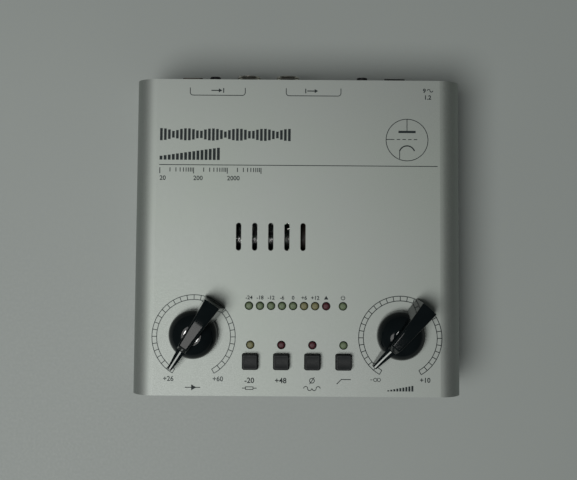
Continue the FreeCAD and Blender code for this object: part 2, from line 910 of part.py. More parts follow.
# ---------------------------------------------------------------- keys
def key_levels():
    """Underside and top of a key cap at rest, and the ends of its plunger."""
    top = z_top + key_rise
    bottom = top - key_height
    plunger_low = z_control + switch_floor + key_travel + plunger_overtravel
    return bottom, top, plunger_low, top - key_roof


def make_key(x):
    """Square cap with softened edges and a shallow dish for the finger."""
    bottom, top, _, plunger_high = key_levels()
    cap = rounded(x, y_keys, key_width, key_width, bottom, top, key_corner)
    rim = [e for e in cap.Edges if abs(e.CenterOfMass.z - top) < 1e-6]
    cap = cap.makeFillet(key_round, rim)
    chord = key_width / 2 - key_corner
    radius = (chord**2 + key_dish**2) / (2 * key_dish)
    dish = rod_along_x(y_keys, top + radius - key_dish, radius, x - key_width, x + key_width)
    well = centred(x, y_keys, plunger_width, plunger_width, bottom - 1, plunger_high)
    return cap.cut([dish.common(centred(x, y_keys, 2 * chord, 2 * chord, bottom, top + 1)), well])


def make_plunger(x):
    _, _, low, high = key_levels()
    return centred(x, y_keys, plunger_width, plunger_width, low, high)


def make_switch_bodies():
    bodies = []
    for x in key_xs:
        top = z_control + switch_height
        body = rounded(x, y_keys, switch_width, switch_width, z_control, top, switch_corner)
        well_width = plunger_width + 2 * plunger_gap
        well = centred(x, y_keys, well_width, well_width, z_control + switch_floor, top + 1)
        bodies.append(body.cut(well))
    return group(bodies)


# ---------------------------------------------------------------- lamps
def make_lamps(colour):
    """Round-topped 3 mm lamps of one colour."""
    lamps = []
    top = z_top + lamp_rise
    bottom = top - lamp_length
    for x, y, kind in lamp_places():
        if kind != colour:
            continue
        lens = post(x, y, lamp_radius, bottom, top)
        rim = [e for e in lens.Edges if abs(e.CenterOfMass.z - top) < 1e-6]
        lens = lens.makeFillet(lamp_round, rim)
        lamps.append(join(lens, post(x, y, spacer_radius, bottom, bottom + lamp_flange_height)))
    return group(lamps)


def make_lamp_spacers():
    top = z_top + lamp_rise - lamp_length
    spacers = []
    for x, y, _ in lamp_places():
        tube = post(x, y, spacer_radius, z_control, top)
        bores = [
            post(x + side * lead_offset, y, lead_bore, z_control - 1, top + 1) for side in (-1, 1)
        ]
        spacers.append(tube.cut(bores))
    return group(spacers)


def make_lamp_leads():
    top = z_top + lamp_rise - lamp_length
    return group(
        centred(x + side * lead_offset, y, lead_width, lead_width, z_control, top)
        for x, y, _ in lamp_places()
        for side in (-1, 1)
    )


# ---------------------------------------------------------------- XLR sockets
def xlr_shell(x):
    """Flange behind the panel, barrel through it and body on the board, with the round mouth cut."""
    flange_back = y_rear_inside - xlr_flange_thickness
    flange = block(
        x - xlr_flange_width / 2,
        x + xlr_flange_width / 2,
        flange_back,
        y_rear_inside,
        z_xlr - xlr_flange_height / 2,
        z_xlr + xlr_flange_height / 2,
    )
    corners = [e for e in flange.Edges if is_along(e, Vector(0, 1, 0))]
    flange = flange.makeFillet(xlr_flange_corner, corners)
    barrel = rod_along_y(x, z_xlr, xlr_barrel_radius, flange_back, y_rear_face + xlr_face_stand)
    half = xlr_body_width / 2
    body_back = flange_back - xlr_body_depth
    body = block(x - half, x + half, body_back, flange_back, z_board, z_xlr + xlr_body_top)
    shell = join(flange, barrel, body)
    screws = [
        rod_along_y(sx, sz, screw_radius, flange_back - xlr_screw_depth, y_rear_inside + 1)
        for sx, sz in xlr_screw_places()
        if abs(sx - x) < xlr_flange_width / 2
    ]
    mouth = rod_along_y(x, z_xlr, xlr_mouth_radius, y_rear_face - xlr_mouth_depth, y_back + 5)
    return shell.cut([mouth] + screws)


def latch_pivot():
    """Y and Z of the pivot about which the latch rocks."""
    return y_rear_face - latch_pivot_depth, z_xlr + latch_pivot_rise


def make_input_xlr_housing():
    y_pivot, z_pivot = latch_pivot()
    slot_half = latch_width / 2 + latch_side_gap
    bearing_half = latch_width / 2 + latch_pin_reach + latch_side_gap / 2
    slot = block(
        xlr_input_x - slot_half,
        xlr_input_x + slot_half,
        y_rear_face - latch_slot_depth,
        y_back + 1,
        z_xlr + latch_slot_low,
        z_xlr + latch_slot_high,
    )
    bearings = rod_along_x(
        y_pivot,
        z_pivot,
        latch_pin_radius + running_gap,
        xlr_input_x - bearing_half,
        xlr_input_x + bearing_half,
    )
    return xlr_shell(xlr_input_x).cut([slot, bearings])


def make_input_xlr_latch():
    """Press tab, lever and hook in one piece, rocking on two stub trunnions."""
    y_pivot, z_pivot = latch_pivot()
    x0, x1 = xlr_input_x - latch_width / 2, xlr_input_x + latch_width / 2
    low, high = z_pivot - latch_thickness / 2, z_pivot + latch_thickness / 2
    y_hook, y_end = y_rear_face - latch_lever_depth, y_rear_face + latch_reach
    lever = block(x0, x1, y_hook, y_end, low, high)
    tab = block(x0, x1, y_rear_face + latch_tab_start, y_end, low, high + latch_tab_rise)
    top_edges = [e for e in tab.Edges if is_along(e, Vector(0, 1, 0)) and e.CenterOfMass.z > high]
    tab = tab.makeFillet(latch_tab_round, top_edges)
    hook = prism(
        [
            (x0 + latch_hook_inset, y_hook, low),
            (x0 + latch_hook_inset, y_hook, low - latch_hook_drop),
            (x0 + latch_hook_inset, y_hook + latch_hook_flat, low - latch_hook_drop),
            (x0 + latch_hook_inset, y_hook + latch_hook_ramp, low),
        ],
        (latch_width - 2 * latch_hook_inset, 0, 0),
    )
    trunnions = rod_along_x(y_pivot, z_pivot, latch_pin_radius, x0 - latch_pin_reach, x1 + latch_pin_reach)
    return join(lever, tab, hook, trunnions)


def contact_places(x):
    """Three contacts on a circle, two above and one below."""
    return [
        (
            x + contact_circle * math.cos(math.radians(a)),
            z_xlr + contact_circle * math.sin(math.radians(a)),
        )
        for a in contact_angles
    ]


def make_input_xlr_insert():
    floor = y_rear_face - xlr_mouth_depth
    face = y_rear_face - xlr_insert_recess
    plug = rod_along_y(xlr_input_x, z_xlr, xlr_insert_radius, floor, face)
    rim = [e for e in plug.Edges if abs(e.CenterOfMass.y - face) < 1e-6]
    plug = plug.makeFillet(xlr_insert_round, rim)
    sockets = [
        rod_along_y(x, z, xlr_pin_radius + fit_gap, floor + contact_floor, face + 1)
        for x, z in contact_places(xlr_input_x)
    ]
    key = block(
        xlr_input_x - xlr_key_half,
        xlr_input_x + xlr_key_half,
        floor + xlr_key_floor,
        face + 1,
        z_xlr + xlr_key_low,
        z_xlr + xlr_key_high,
    )
    return plug.cut(sockets + [key])


def make_xlr_contacts():
    """Spring sleeves in the input's three holes, and the output's three round-ended pins."""
    floor = y_rear_face - xlr_mouth_depth
    foot, mouth = floor + contact_floor, floor + contact_floor + contact_length
    contacts = []
    for x, z in contact_places(xlr_input_x):
        sleeve = rod_along_y(x, z, xlr_pin_radius + fit_gap, foot, mouth)
        contacts.append(sleeve.cut(rod_along_y(x, z, xlr_pin_radius, foot + contact_web, mouth + 1)))
    for x, z in contact_places(xlr_output_x):
        tip = y_rear_face - xlr_pin_recess
        pin = rod_along_y(x, z, xlr_pin_radius, floor, tip)
        end = [e for e in pin.Edges if abs(e.CenterOfMass.y - tip) < 1e-6]
        contacts.append(pin.makeFillet(xlr_pin_round, end))
    return group(contacts)


def make_xlr_screws():
    """Socket-head screws from the rear, two to each XLR socket."""
    height = xlr_screw_head_height
    head = post(0, 0, xlr_screw_head_radius, 0, height)
    rim = [e for e in head.Edges if abs(e.CenterOfMass.z - height) < 1e-6]
    head = head.makeFillet(xlr_screw_head_round, rim)
    shank = post(0, 0, screw_radius - screw_thread_gap, -sheet - xlr_flange_thickness, 0)
    socket = moved(hexagon(xlr_screw_socket, height), 0, 0, height - xlr_screw_socket_depth)
    screw = turned(join(head, shank).cut(socket), (1, 0, 0), -90)
    return group(moved(screw, x, y_rear_face, z) for x, z in xlr_screw_places())


# ---------------------------------------------------------------- jack sockets
def make_jack_body(x):
    """Moulded socket with a threaded nose. The plug's bore opens into a chamber for the springs."""
    nose_end = y_back + rear_reach
    back = y_rear_inside - jack_depth
    body = block(
        x - jack_width / 2, x + jack_width / 2, back, y_rear_inside, z_board, z_jack + jack_body_top
    )
    body = body.makeFillet(jack_corner, [e for e in body.Edges if is_along(e, Vector(0, 1, 0))])
    nose = rod_along_y(x, z_jack, jack_bushing_radius, y_rear_inside, nose_end)
    end = [e for e in nose.Edges if abs(e.CenterOfMass.y - nose_end) < 1e-6]
    nose = nose.makeChamfer(jack_mouth_chamfer, end)
    sleeve_end = nose_end - jack_sleeve
    bore = rod_along_y(x, z_jack, jack_bore_radius, sleeve_end - 1, nose_end + 1)
    chamber = block(
        x - jack_chamber_half_width,
        x + jack_chamber_half_width,
        back + jack_back_wall,
        sleeve_end,
        z_jack - jack_chamber_half_height,
        z_jack + jack_chamber_half_height,
    )
    return join(body, nose).cut([bore, chamber])


def make_jack_contacts():
    """Leaf springs beside the bore: a post at the wall and a bowed leaf that the plug pushes aside."""
    back = y_rear_inside - jack_depth
    front = y_back + rear_reach - jack_sleeve
    z_low = z_jack - leaf_half_height
    leaves = []
    for x in (jack_input_x, jack_output_x):
        for side, back_margin, mouth_margin in leaf_places:
            y0, y1 = back + back_margin, front - mouth_margin
            wall = x + side * jack_chamber_half_width
            bow = x + side * (jack_bore_radius + leaf_preload)
            tail = bow + side * leaf_tail
            middle = (y0 + y1) / 2
            outline = [
                (wall, y0, z_low),
                (bow, middle, z_low),
                (tail, y1, z_low),
                (tail + side * leaf_thickness, y1, z_low),
                (bow + side * leaf_thickness, middle, z_low),
                (wall, y0 + leaf_root, z_low),
            ]
            leaves.append(prism(outline, (0, 0, 2 * leaf_half_height)))
    return group(leaves)


def make_jack_nuts():
    """A washer and a nut on each jack's nose. A cone takes the corners off the nut's outer face."""
    nuts = []
    y_nut = y_rear_face + washer_thickness
    y_face = y_nut + jack_nut_height
    hexagonal = turned(hexagon(jack_nut_width, jack_nut_height), (1, 0, 0), -90)
    for x in (jack_input_x, jack_output_x):
        washer = rod_along_y(x, z_jack, jack_nut_width / 2, y_rear_face, y_nut)
        cone_base = jack_nut_width / 2 + 2 * jack_nut_height
        cone_tip = jack_nut_width / 2 - jack_nut_bevel
        bevel = Part.makeCone(
            cone_base, cone_tip, jack_nut_height, Vector(x, y_nut, z_jack), Vector(0, 1, 0)
        )
        nut = moved(hexagonal, x, y_nut, z_jack).common(bevel)
        hole = rod_along_y(x, z_jack, jack_bushing_radius + shaft_fit, y_rear_face - 1, y_face + 1)
        nuts += [washer.cut(hole), nut.cut(hole)]
    return group(nuts)


# ---------------------------------------------------------------- power switch and inlet
def rocker_box():
    """Half width and half height of the switch's box."""
    return rocker_width / 2 + rocker_box_wall, rocker_radius + rocker_box_wall


def rocker_pivot_y():
    return y_rear_face + rocker_pivot_stand


def make_rocker_body():
    """Frame on the panel's face and a boxed well behind it, open towards the rear."""
    half_x, half_z = rocker_box()
    lap = rocker_frame_lap
    face = y_rear_face + rocker_frame_face
    frame = block(
        rocker_x - half_x - lap,
        rocker_x + half_x + lap,
        y_rear_face,
        face,
        z_xlr - half_z - lap,
        z_xlr + half_z + lap,
    )
    frame = frame.makeFillet(rocker_frame_round, [e for e in frame.Edges if e.CenterOfMass.y > face - 1e-6])
    box = block(
        rocker_x - half_x,
        rocker_x + half_x,
        y_rear_inside - rocker_box_depth,
        y_rear_face,
        z_xlr - half_z,
        z_xlr + half_z,
    )
    well = block(
        rocker_x - rocker_width / 2 - fit_gap,
        rocker_x + rocker_width / 2 + fit_gap,
        rocker_pivot_y() - rocker_radius,
        face + 1,
        z_xlr - rocker_radius - fit_gap,
        z_xlr + rocker_radius + fit_gap,
    )
    pins = rocker_pin(rocker_pin_radius + running_gap, rocker_width / 2 + rocker_pin_reach + running_gap)
    return join(frame, box).cut([well, pins])


def rocker_pin(radius, half_length):
    return rod_along_x(rocker_pivot_y(), z_xlr, radius, rocker_x - half_length, rocker_x + half_length)


def make_rocker():
    """Rocker with a shallow vee face, tipped so that its upper end stands out."""
    reach, half = rocker_radius, rocker_width / 2
    side = [
        (rocker_end_rise, -reach),
        (rocker_vee_rise, 0),
        (rocker_end_rise, reach),
        (-rocker_shoulder, reach),
        (-rocker_keel, rocker_keel_half),
        (-rocker_keel, -rocker_keel_half),
        (-rocker_shoulder, -reach),
    ]
    blank = prism([(-half, y, z) for y, z in side], (rocker_width, 0, 0))
    blank = blank.common(rod_along_x(0, 0, reach, -half, half))
    blank = turned(blank, (1, 0, 0), -rocker_throw / 2)
    blank = moved(blank, rocker_x, rocker_pivot_y(), z_xlr)
    return join(blank, rocker_pin(rocker_pin_radius, half + rocker_pin_reach))


def make_power_inlet():
    """Round-nosed barrel socket standing on the board."""
    back = y_rear_inside - inlet_depth
    half = inlet_body_half
    body = block(inlet_x - half, inlet_x + half, back, y_rear_inside, z_board, z_inlet + inlet_body_top)
    nose_end = y_rear_face + inlet_nose_stand
    nose = rod_along_y(inlet_x, z_inlet, inlet_nose_radius, y_rear_inside, nose_end)
    bore = rod_along_y(inlet_x, z_inlet, inlet_bore_radius, y_rear_face - inlet_bore_depth, y_back + 1)
    return join(body, nose).cut(bore)


def make_power_inlet_pin():
    low, high = y_rear_face - inlet_bore_depth, y_rear_face - inlet_pin_recess
    pin = rod_along_y(inlet_x, z_inlet, inlet_pin_radius, low, high)
    return pin.makeFillet(inlet_pin_round, [e for e in pin.Edges if abs(e.CenterOfMass.y - high) < 1e-6])


# ---------------------------------------------------------------- valve
def valve_shell(radius, base, tip):
    """A round bulb along X with a domed end towards -X. base and tip are its two ends."""
    dome = dome_share * radius
    shoulder = Vector(tip + dome, radius, 0)
    middle = Vector(tip + dome_middle[0] * dome, dome_middle[1] * radius, 0)
    nose = Vector(tip, dome_tip_share * radius, 0)
    edges = [
        Part.makeLine(Vector(base, 0, 0), Vector(base, radius, 0)),
        Part.makeLine(Vector(base, radius, 0), shoulder),
        Part.Arc(shoulder, middle, nose).toShape(),
        Part.makeLine(nose, Vector(tip, 0, 0)),
        Part.makeLine(Vector(tip, 0, 0), Vector(base, 0, 0)),
    ]
    bulb = Part.Face(Part.Wire(edges)).revolve(Vector(0, 0, 0), Vector(1, 0, 0), 360)
    return moved(bulb, 0, y_valve, z_valve)


def make_valve_envelope():
    tip = valve_base_x - valve_length
    outer = valve_shell(valve_radius, valve_base_x, tip)
    nipple = Part.makeCone(
        nipple_tip_radius,
        nipple_root_radius,
        nipple_length,
        Vector(tip - nipple_stand, y_valve, z_valve),
        Vector(1, 0, 0),
    )
    inner = valve_shell(valve_radius - valve_glass, valve_base_x + 1, tip + valve_glass)
    return join(outer, nipple).cut(inner)


def valve_pin_places():
    step = 360.0 / (valve_pins + 1)
    return [
        (
            y_valve + valve_pin_circle * math.sin(math.radians(step * (i + 1))),
            z_valve + valve_pin_circle * math.cos(math.radians(step * (i + 1))),
        )
        for i in range(valve_pins)
    ]


def make_valve_stem():
    """Glass button that closes the bulb and holds the pins."""
    radius = valve_radius - valve_glass - stem_gap
    inner = valve_base_x - stem_thickness
    stem = rod_along_x(y_valve, z_valve, radius, inner, valve_base_x)
    holes = [
        rod_along_x(y, z, valve_pin_radius, inner - 1, valve_base_x + 1) for y, z in valve_pin_places()
    ]
    return stem.cut(holes)


def make_valve_pins():
    """Nine pins through the stem. Two of them run on as the rods that carry the inner structure."""
    pins = []
    for i, (y, z) in enumerate(valve_pin_places()):
        inside = anode_front_gap if i in (1, valve_pins - 2) else valve_pin_inside
        x0, x1 = valve_base_x - inside, valve_base_x + valve_pin_outside
        pins.append(rod_along_x(y, z, valve_pin_radius, x0, x1))
    return group(pins)


def anode_tube(y, x0, x1, inset, corner):
    width = anode_half_width - inset
    height = anode_half_height - inset
    tube = block(x0, x1, y - width, y + width, z_valve - height, z_valve + height)
    return tube.makeFillet(corner, [e for e in tube.Edges if is_along(e, Vector(1, 0, 0))])


def make_valve_anodes():
    """Two flattened anode boxes side by side, each open along its length, with the cathode inside."""
    x1 = valve_base_x - anode_front_gap - spacer_thickness
    x0 = x1 - anode_length
    boxes = []
    for side in (-1, 1):
        y = y_valve + side * anode_offset
        outer = anode_tube(y, x0, x1, 0, anode_corner)
        inner = anode_tube(y, x0 - 1, x1 + 1, anode_sheet, anode_inner_corner)
        boxes += [outer.cut(inner), rod_along_x(y, z_valve, cathode_radius, x0, x1)]
    return group(boxes)


def make_valve_spacers():
    near = valve_base_x - anode_front_gap
    far = near - 2 * spacer_thickness - anode_length
    radius = valve_radius - valve_glass - valve_spacer_gap
    return group(
        rod_along_x(y_valve, z_valve, radius, x1 - spacer_thickness, x1)
        for x1 in (near, far + spacer_thickness)
    )


def make_valve_getter():
    """Ring on a leg, which stands off the far spacer towards the tip."""
    far = valve_base_x - anode_front_gap - 2 * spacer_thickness - anode_length
    centre = Vector(far - getter_stand, y_valve, z_valve)
    ring = Part.makeTorus(getter_ring_radius, getter_wire_radius, centre, Vector(1, 0, 0))
    z_leg = z_valve - getter_ring_radius
    leg = rod_along_x(y_valve, z_leg, getter_leg_radius, far - getter_stand, far)
    return join(ring, leg)


def make_valve_socket():
    """Nine-way moulded socket between the valve and its upright board."""
    x0, x1 = valve_base_x + socket_gap, valve_base_x + socket_thickness
    body = rod_along_x(y_valve, z_valve, socket_radius, x0, x1)
    flange = rod_along_x(y_valve, z_valve, socket_flange_radius, x1 - socket_flange_thickness, x1)
    holes = [
        rod_along_x(y, z, valve_pin_radius + valve_pin_gap, x0 - 1, x1 - socket_hole_floor)
        for y, z in valve_pin_places()
    ]
    centre = rod_along_x(y_valve, z_valve, socket_centre_radius, x0 - 1, x1 - socket_centre_floor)
    return join(body, flange).cut(holes + [centre])


def make_riser_board():
    x0 = valve_base_x + socket_thickness
    y0, y1 = y_valve - riser_half_width, y_valve + riser_half_width
    return block(x0, x0 + board_thickness, y0, y1, z_board, z_valve + riser_top)


# ---------------------------------------------------------------- parts on the main board
def can_places():
    """Axes of four cans, in the free area to the right of the valve."""
    x = valve_base_x + socket_thickness + can_bay_gap
    y = y_valve + can_first_y
    return [(x + can_pitch_x * column, y + can_pitch_y * row) for column in range(2) for row in range(2)]


def make_filter_capacitors():
    """Four upright electrolytic cans."""
    cans = []
    for x, y in can_places():
        can = post(x, y, can_radius, z_board, z_board + can_height)
        centre = Vector(x, y, z_board + can_groove_rise)
        groove = Part.makeTorus(can_radius + can_groove_stand, can_groove_radius, centre)
        cans.append(can.cut(groove))
    return group(cans)


def heatsink_place():
    """X of the heatsink's mounting face, and Y of its middle."""
    return can_places()[0][0] + heatsink_gap, y_valve + heatsink_y


def make_regulator_heatsink():
    """Upright extruded heatsink with fins, which the regulators are clipped to."""
    x, y = heatsink_place()
    front, top = y - heatsink_half_length, z_board + heatsink_height
    x_web = x + heatsink_web
    web = block(x, x_web, front, y + heatsink_half_length, z_board, top)
    fins = []
    for i in range(fin_count):
        y0 = front + fin_pitch * i
        fins.append(block(x_web, x_web + fin_reach, y0, y0 + fin_thickness, z_board, top))
    return join(web, *fins)


def make_regulators():
    x, y = heatsink_place()
    low, high = z_board + regulator_body_low, z_board + regulator_body_high
    regulators = []
    for offset in regulator_ys:
        y0 = y + offset
        y1 = y0 + regulator_width
        body = block(x - regulator_body_front, x - regulator_body_back, y0, y1, low, high)
        tab = block(x - regulator_tab, x, y0, y1, low, z_board + regulator_tab_top)
        legs = []
        for leg in regulator_leg_ys:
            x0, x1 = x - regulator_leg_far, x - regulator_leg_near
            y_leg = y0 + leg
            legs.append(block(x0, x1, y_leg, y_leg + regulator_leg_width, z_board, low + regulator_leg_lap))
        regulators.append(join(body, tab, *legs))
    return group(regulators)


def chip_places():
    left, right, front, _ = control_board_edges()
    xs = [left + inset for inset in chip_insets] + [right - inset for inset in reversed(chip_insets)]
    return [(x, front + chip_row) for x in xs]


def make_amplifier_chips():
    """Eight-legged op-amp packages."""
    chips = []
    for x, y in chip_places():
        body = centred(x, y, chip_length, chip_width, z_board + chip_low, z_board + chip_high)
        notch_low = z_board + chip_high - chip_notch_depth
        notch = post(x - chip_length / 2, y, chip_notch_radius, notch_low, z_board + chip_high + 1)
        legs = []
        for i in range(4):
            x_leg = x + chip_pitch * (i - 1.5)
            for y_leg in (y - chip_leg_offset, y + chip_leg_offset):
                top = z_board + chip_leg_height
                legs.append(centred(x_leg, y_leg, chip_leg_width, chip_leg_thickness, z_board, top))
        chips.append(join(body.cut(notch), *legs))
    return group(chips)


def resistor_places():
    """Two rows, left open where the link between the boards stands."""
    left, _, front, _ = control_board_edges()
    link_reach = link_pitch * link_columns / 2 + resistor_link_gap
    xs = [left + resistor_first_x + resistor_pitch_x * i for i in range(resistors_per_row)]
    ys = [front + resistor_first_y + resistor_pitch_y * row for row in range(resistor_rows)]
    return [(x, y) for y in ys for x in xs if abs(x) >= link_reach]


def make_resistors():
    """Axial resistors bent down to the board."""
    half = resistor_leg_half
    parts = []
    for x, y in resistor_places():
        x0, x1 = x - resistor_half_length, x + resistor_half_length
        body = rod_along_x(y, z_board + resistor_rise, resistor_radius, x0, x1)
        legs = [
            centred(x_leg, y, 2 * half, 2 * half, z_board, z_board + resistor_leg_height)
            for x_leg in (x - resistor_leg_offset, x + resistor_leg_offset)
        ]
        parts.append(join(body, *legs))
    return group(parts)


def make_film_capacitors():
    """Boxed film capacitors between the valve's tip and the input sockets, in two heights."""
    x0 = valve_base_x - valve_length + film_first_x
    y0 = y_valve + valve_radius + film_gap_y
    boxes = []
    for i in range(film_count):
        top = z_board + film_height + (film_taller if i % 2 else 0)
        boxes.append(centred(x0 + film_pitch * i, y0, film_length, film_width, z_board, top))
    return group(boxes)


# ---------------------------------------------------------------- build
def save(name, shape):
    solids = shape.Solids
    state = "ok" if shape.isValid() and all(s.isValid() and s.Volume > 0 for s in solids) else "BAD"
    print(f"{name:24s} {state} solids={len(solids)} volume={sum(s.Volume for s in solids):.1f}")
    shape.exportStep(os.path.join("parts", name + ".step"))


def main():
    os.makedirs("parts", exist_ok=True)
    save("top_cover", make_top_cover())
    save("bottom_tray", make_bottom_tray())
    save("case_screws", group(make_cover_screws().Solids + make_xlr_screws().Solids))
    save("rubber_feet", make_rubber_feet())

    save("main_board", make_main_board())
    save("board_standoffs", make_board_standoffs())
    save("board_screws", make_board_screws())
    save("control_board", make_control_board())
    save("link_housings", make_link_housings())
    save("link_pins", make_link_pins())

    for name, x, angle in (
        ("gain", -knob_offset, gain_angle),
        ("output", knob_offset, output_angle),
    ):
        save(name + "_pot_body", make_pot_body(x))
        save(name + "_pot_shaft", make_pot_shaft(x, angle))
        knob, line = knob_pieces(x, angle)
        save(name + "_knob", knob)
        save(name + "_knob_pointer", line)
    save("pot_nuts", make_pot_nuts())

    for name, x in zip(("pad", "phantom", "phase", "limiter"), key_xs):
        save(name + "_key", make_key(x))
        save(name + "_plunger", make_plunger(x))
    save("switch_bodies", make_switch_bodies())

    for colour in ("green", "yellow", "red"):
        save(colour + "_lamps", make_lamps(colour))
    save("lamp_spacers", make_lamp_spacers())
    save("lamp_leads", make_lamp_leads())

    save("input_xlr_housing", make_input_xlr_housing())
    save("input_xlr_insert", make_input_xlr_insert())
    save("input_xlr_latch", make_input_xlr_latch())
    save("output_xlr_housing", xlr_shell(xlr_output_x))
    save("xlr_contacts", make_xlr_contacts())

    save("input_jack_body", make_jack_body(jack_input_x))
    save("output_jack_body", make_jack_body(jack_output_x))
    save("jack_contacts", make_jack_contacts())
    save("jack_nuts", make_jack_nuts())

    save("power_switch_body", make_rocker_body())
    save("power_switch_rocker", make_rocker())
    save("power_inlet", make_power_inlet())
    save("power_inlet_pin", make_power_inlet_pin())

    save("valve_envelope", make_valve_envelope())
    save("valve_stem", make_valve_stem())
    save("valve_pins", make_valve_pins())
    save("valve_anodes", make_valve_anodes())
    save("valve_spacers", make_valve_spacers())
    save("valve_getter", make_valve_getter())
    save("valve_socket", make_valve_socket())
    save("valve_riser_board", make_riser_board())

    save("filter_capacitors", make_filter_capacitors())
    save("regulator_heatsink", make_regulator_heatsink())
    save("regulators", make_regulators())
    save("amplifier_chips", make_amplifier_chips())
    save("resistors", make_resistors())
    save("film_capacitors", make_film_capacitors())


main()
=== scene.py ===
"""Desktop valve microphone preamplifier: a folded silver cover with pointer knobs, push keys, a lamp meter
and printed scales, over a dark tray that carries the sockets. The object is dressed in the order in which
it is put together. Metres; +X to the right, +Y to the rear, +Z up, z = 0 at the desk."""

import math

import bmesh
import bpy
from mathutils import Matrix, Vector


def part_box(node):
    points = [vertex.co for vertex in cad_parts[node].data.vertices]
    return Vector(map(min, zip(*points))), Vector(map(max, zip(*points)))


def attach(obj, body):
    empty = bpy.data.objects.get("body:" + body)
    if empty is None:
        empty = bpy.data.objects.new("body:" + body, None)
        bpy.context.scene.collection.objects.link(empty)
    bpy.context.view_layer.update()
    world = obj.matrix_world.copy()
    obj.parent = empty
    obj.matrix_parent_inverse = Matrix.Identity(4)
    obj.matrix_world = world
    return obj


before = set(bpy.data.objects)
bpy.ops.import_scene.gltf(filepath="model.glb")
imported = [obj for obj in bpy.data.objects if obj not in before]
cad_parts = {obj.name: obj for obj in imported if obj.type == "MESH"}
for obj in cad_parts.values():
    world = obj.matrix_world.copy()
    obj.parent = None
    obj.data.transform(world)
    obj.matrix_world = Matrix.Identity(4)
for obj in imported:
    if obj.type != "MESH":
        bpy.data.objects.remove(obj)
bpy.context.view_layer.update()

mm = 0.001

# ---------------------------------------------------------------- camera
# The unit is seen from straight above, from a little under arm's length. The camera leans slightly, so
# the front edge comes out wider than the rear edge, and the frame is shifted back over the unit.
cover_low, cover_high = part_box("top_cover")
z_top = cover_high.z
x_mid = (cover_low.x + cover_high.x) / 2
y_mid = (cover_low.y + cover_high.y) / 2

camera_data = bpy.data.cameras.new("camera")
camera = bpy.data.objects.new("camera", camera_data)
bpy.context.scene.collection.objects.link(camera)
camera_data.sensor_width = 36.0
camera_data.lens = 55.7
camera_data.shift_y = -0.0887
camera_data.clip_start = 0.01
camera_offset = 3.8 * mm
camera_height = 360.6 * mm
camera_place = Vector((x_mid - camera_offset, y_mid - camera_offset, z_top + camera_height))
camera_lean = math.radians(3.65)
camera_roll = math.radians(0.41)
camera.matrix_world = (
    Matrix.Translation(camera_place)
    @ Matrix.Rotation(camera_lean, 4, "X")
    @ Matrix.Rotation(camera_roll, 4, "Z")
)
bpy.context.scene.camera = camera
bpy.context.scene.view_settings.view_transform = "Standard"


# ---------------------------------------------------------------- lights
# One round, soft lamp hangs over the desk to the front left, about twenty degrees from straight up. The
# room round it stays dim, so the cover's rolled edges go dark and shadows keep their depth.
lamp_place = Vector((-0.36, -0.28, 1.20))
lamp_target = Vector((0, 0, 0.04))
desk_lamp = bpy.data.lights.new("desk_lamp", "AREA")
desk_lamp.shape = "DISK"
desk_lamp.size = 0.68
desk_lamp.energy = 9.6
desk_lamp.color = (1.0, 1.0, 0.975)
lamp_holder = bpy.data.objects.new("desk_lamp", desk_lamp)
bpy.context.scene.collection.objects.link(lamp_holder)
lamp_aim = (lamp_target - lamp_place).to_track_quat("-Z", "Y").to_matrix().to_4x4()
lamp_holder.matrix_world = Matrix.Translation(lamp_place) @ lamp_aim
world = bpy.data.worlds.new("room")
bpy.context.scene.world = world
world.use_nodes = True
room_light = world.node_tree.nodes["Background"]
room_light.inputs["Color"].default_value = (0.36, 0.39, 0.38, 1)
room_light.inputs["Strength"].default_value = 0.16


# ---------------------------------------------------------------- desk
# A plain pale desk top under the unit.
def start_finish(name):
    """A new material, its shader and the object coordinates that its patterns follow."""
    material = bpy.data.materials.new(name)
    material.use_nodes = True
    shader = material.node_tree.nodes["Principled BSDF"]
    place = material.node_tree.nodes.new("ShaderNodeTexCoord").outputs["Object"]
    return material, shader, place


def noise(material, place, cells_per_metre, detail=3.0, stretch=(1, 1, 1)):
    """Grain of about 1 / cells_per_metre, drawn out along an axis where its stretch is under 1."""
    nodes, links = material.node_tree.nodes, material.node_tree.links
    mapping = nodes.new("ShaderNodeMapping")
    mapping.inputs["Scale"].default_value = stretch
    links.new(place, mapping.inputs["Vector"])
    texture = nodes.new("ShaderNodeTexNoise")
    texture.inputs["Scale"].default_value = cells_per_metre
    texture.inputs["Detail"].default_value = detail
    links.new(mapping.outputs["Vector"], texture.inputs["Vector"])
    return texture.outputs["Fac"]


def spread(material, factor, low, high, start=0.3, end=0.7):
    """The factor between start and end, spread over low to high."""
    node = material.node_tree.nodes.new("ShaderNodeMapRange")
    node.inputs["From Min"].default_value = start
    node.inputs["From Max"].default_value = end
    node.inputs["To Min"].default_value = low
    node.inputs["To Max"].default_value = high
    material.node_tree.links.new(factor, node.inputs["Value"])
    return node.outputs["Result"]


def blend_colours(material, factor, first, second):
    """One colour where the factor is 0, the other where it is 1. Either may be a socket."""
    node = material.node_tree.nodes.new("ShaderNodeMix")
    node.data_type = "RGBA"
    material.node_tree.links.new(factor, node.inputs["Factor"])
    for socket, colour in ((node.inputs[6], first), (node.inputs[7], second)):
        if isinstance(colour, tuple):
            socket.default_value = (*colour, 1)
        else:
            material.node_tree.links.new(colour, socket)
    return node.outputs[2]


def relief(material, shader, height, depth, strength=1.0):
    """Bumps of the given depth in metres."""
    node = material.node_tree.nodes.new("ShaderNodeBump")
    node.inputs["Distance"].default_value = depth
    node.inputs["Strength"].default_value = strength
    material.node_tree.links.new(height, node.inputs["Height"])
    material.node_tree.links.new(node.outputs["Normal"], shader.inputs["Normal"])


def colour_by(material, shader, colour):
    material.node_tree.links.new(colour, shader.inputs["Base Color"])


def roughness_by(material, shader, roughness):
    material.node_tree.links.new(roughness, shader.inputs["Roughness"])


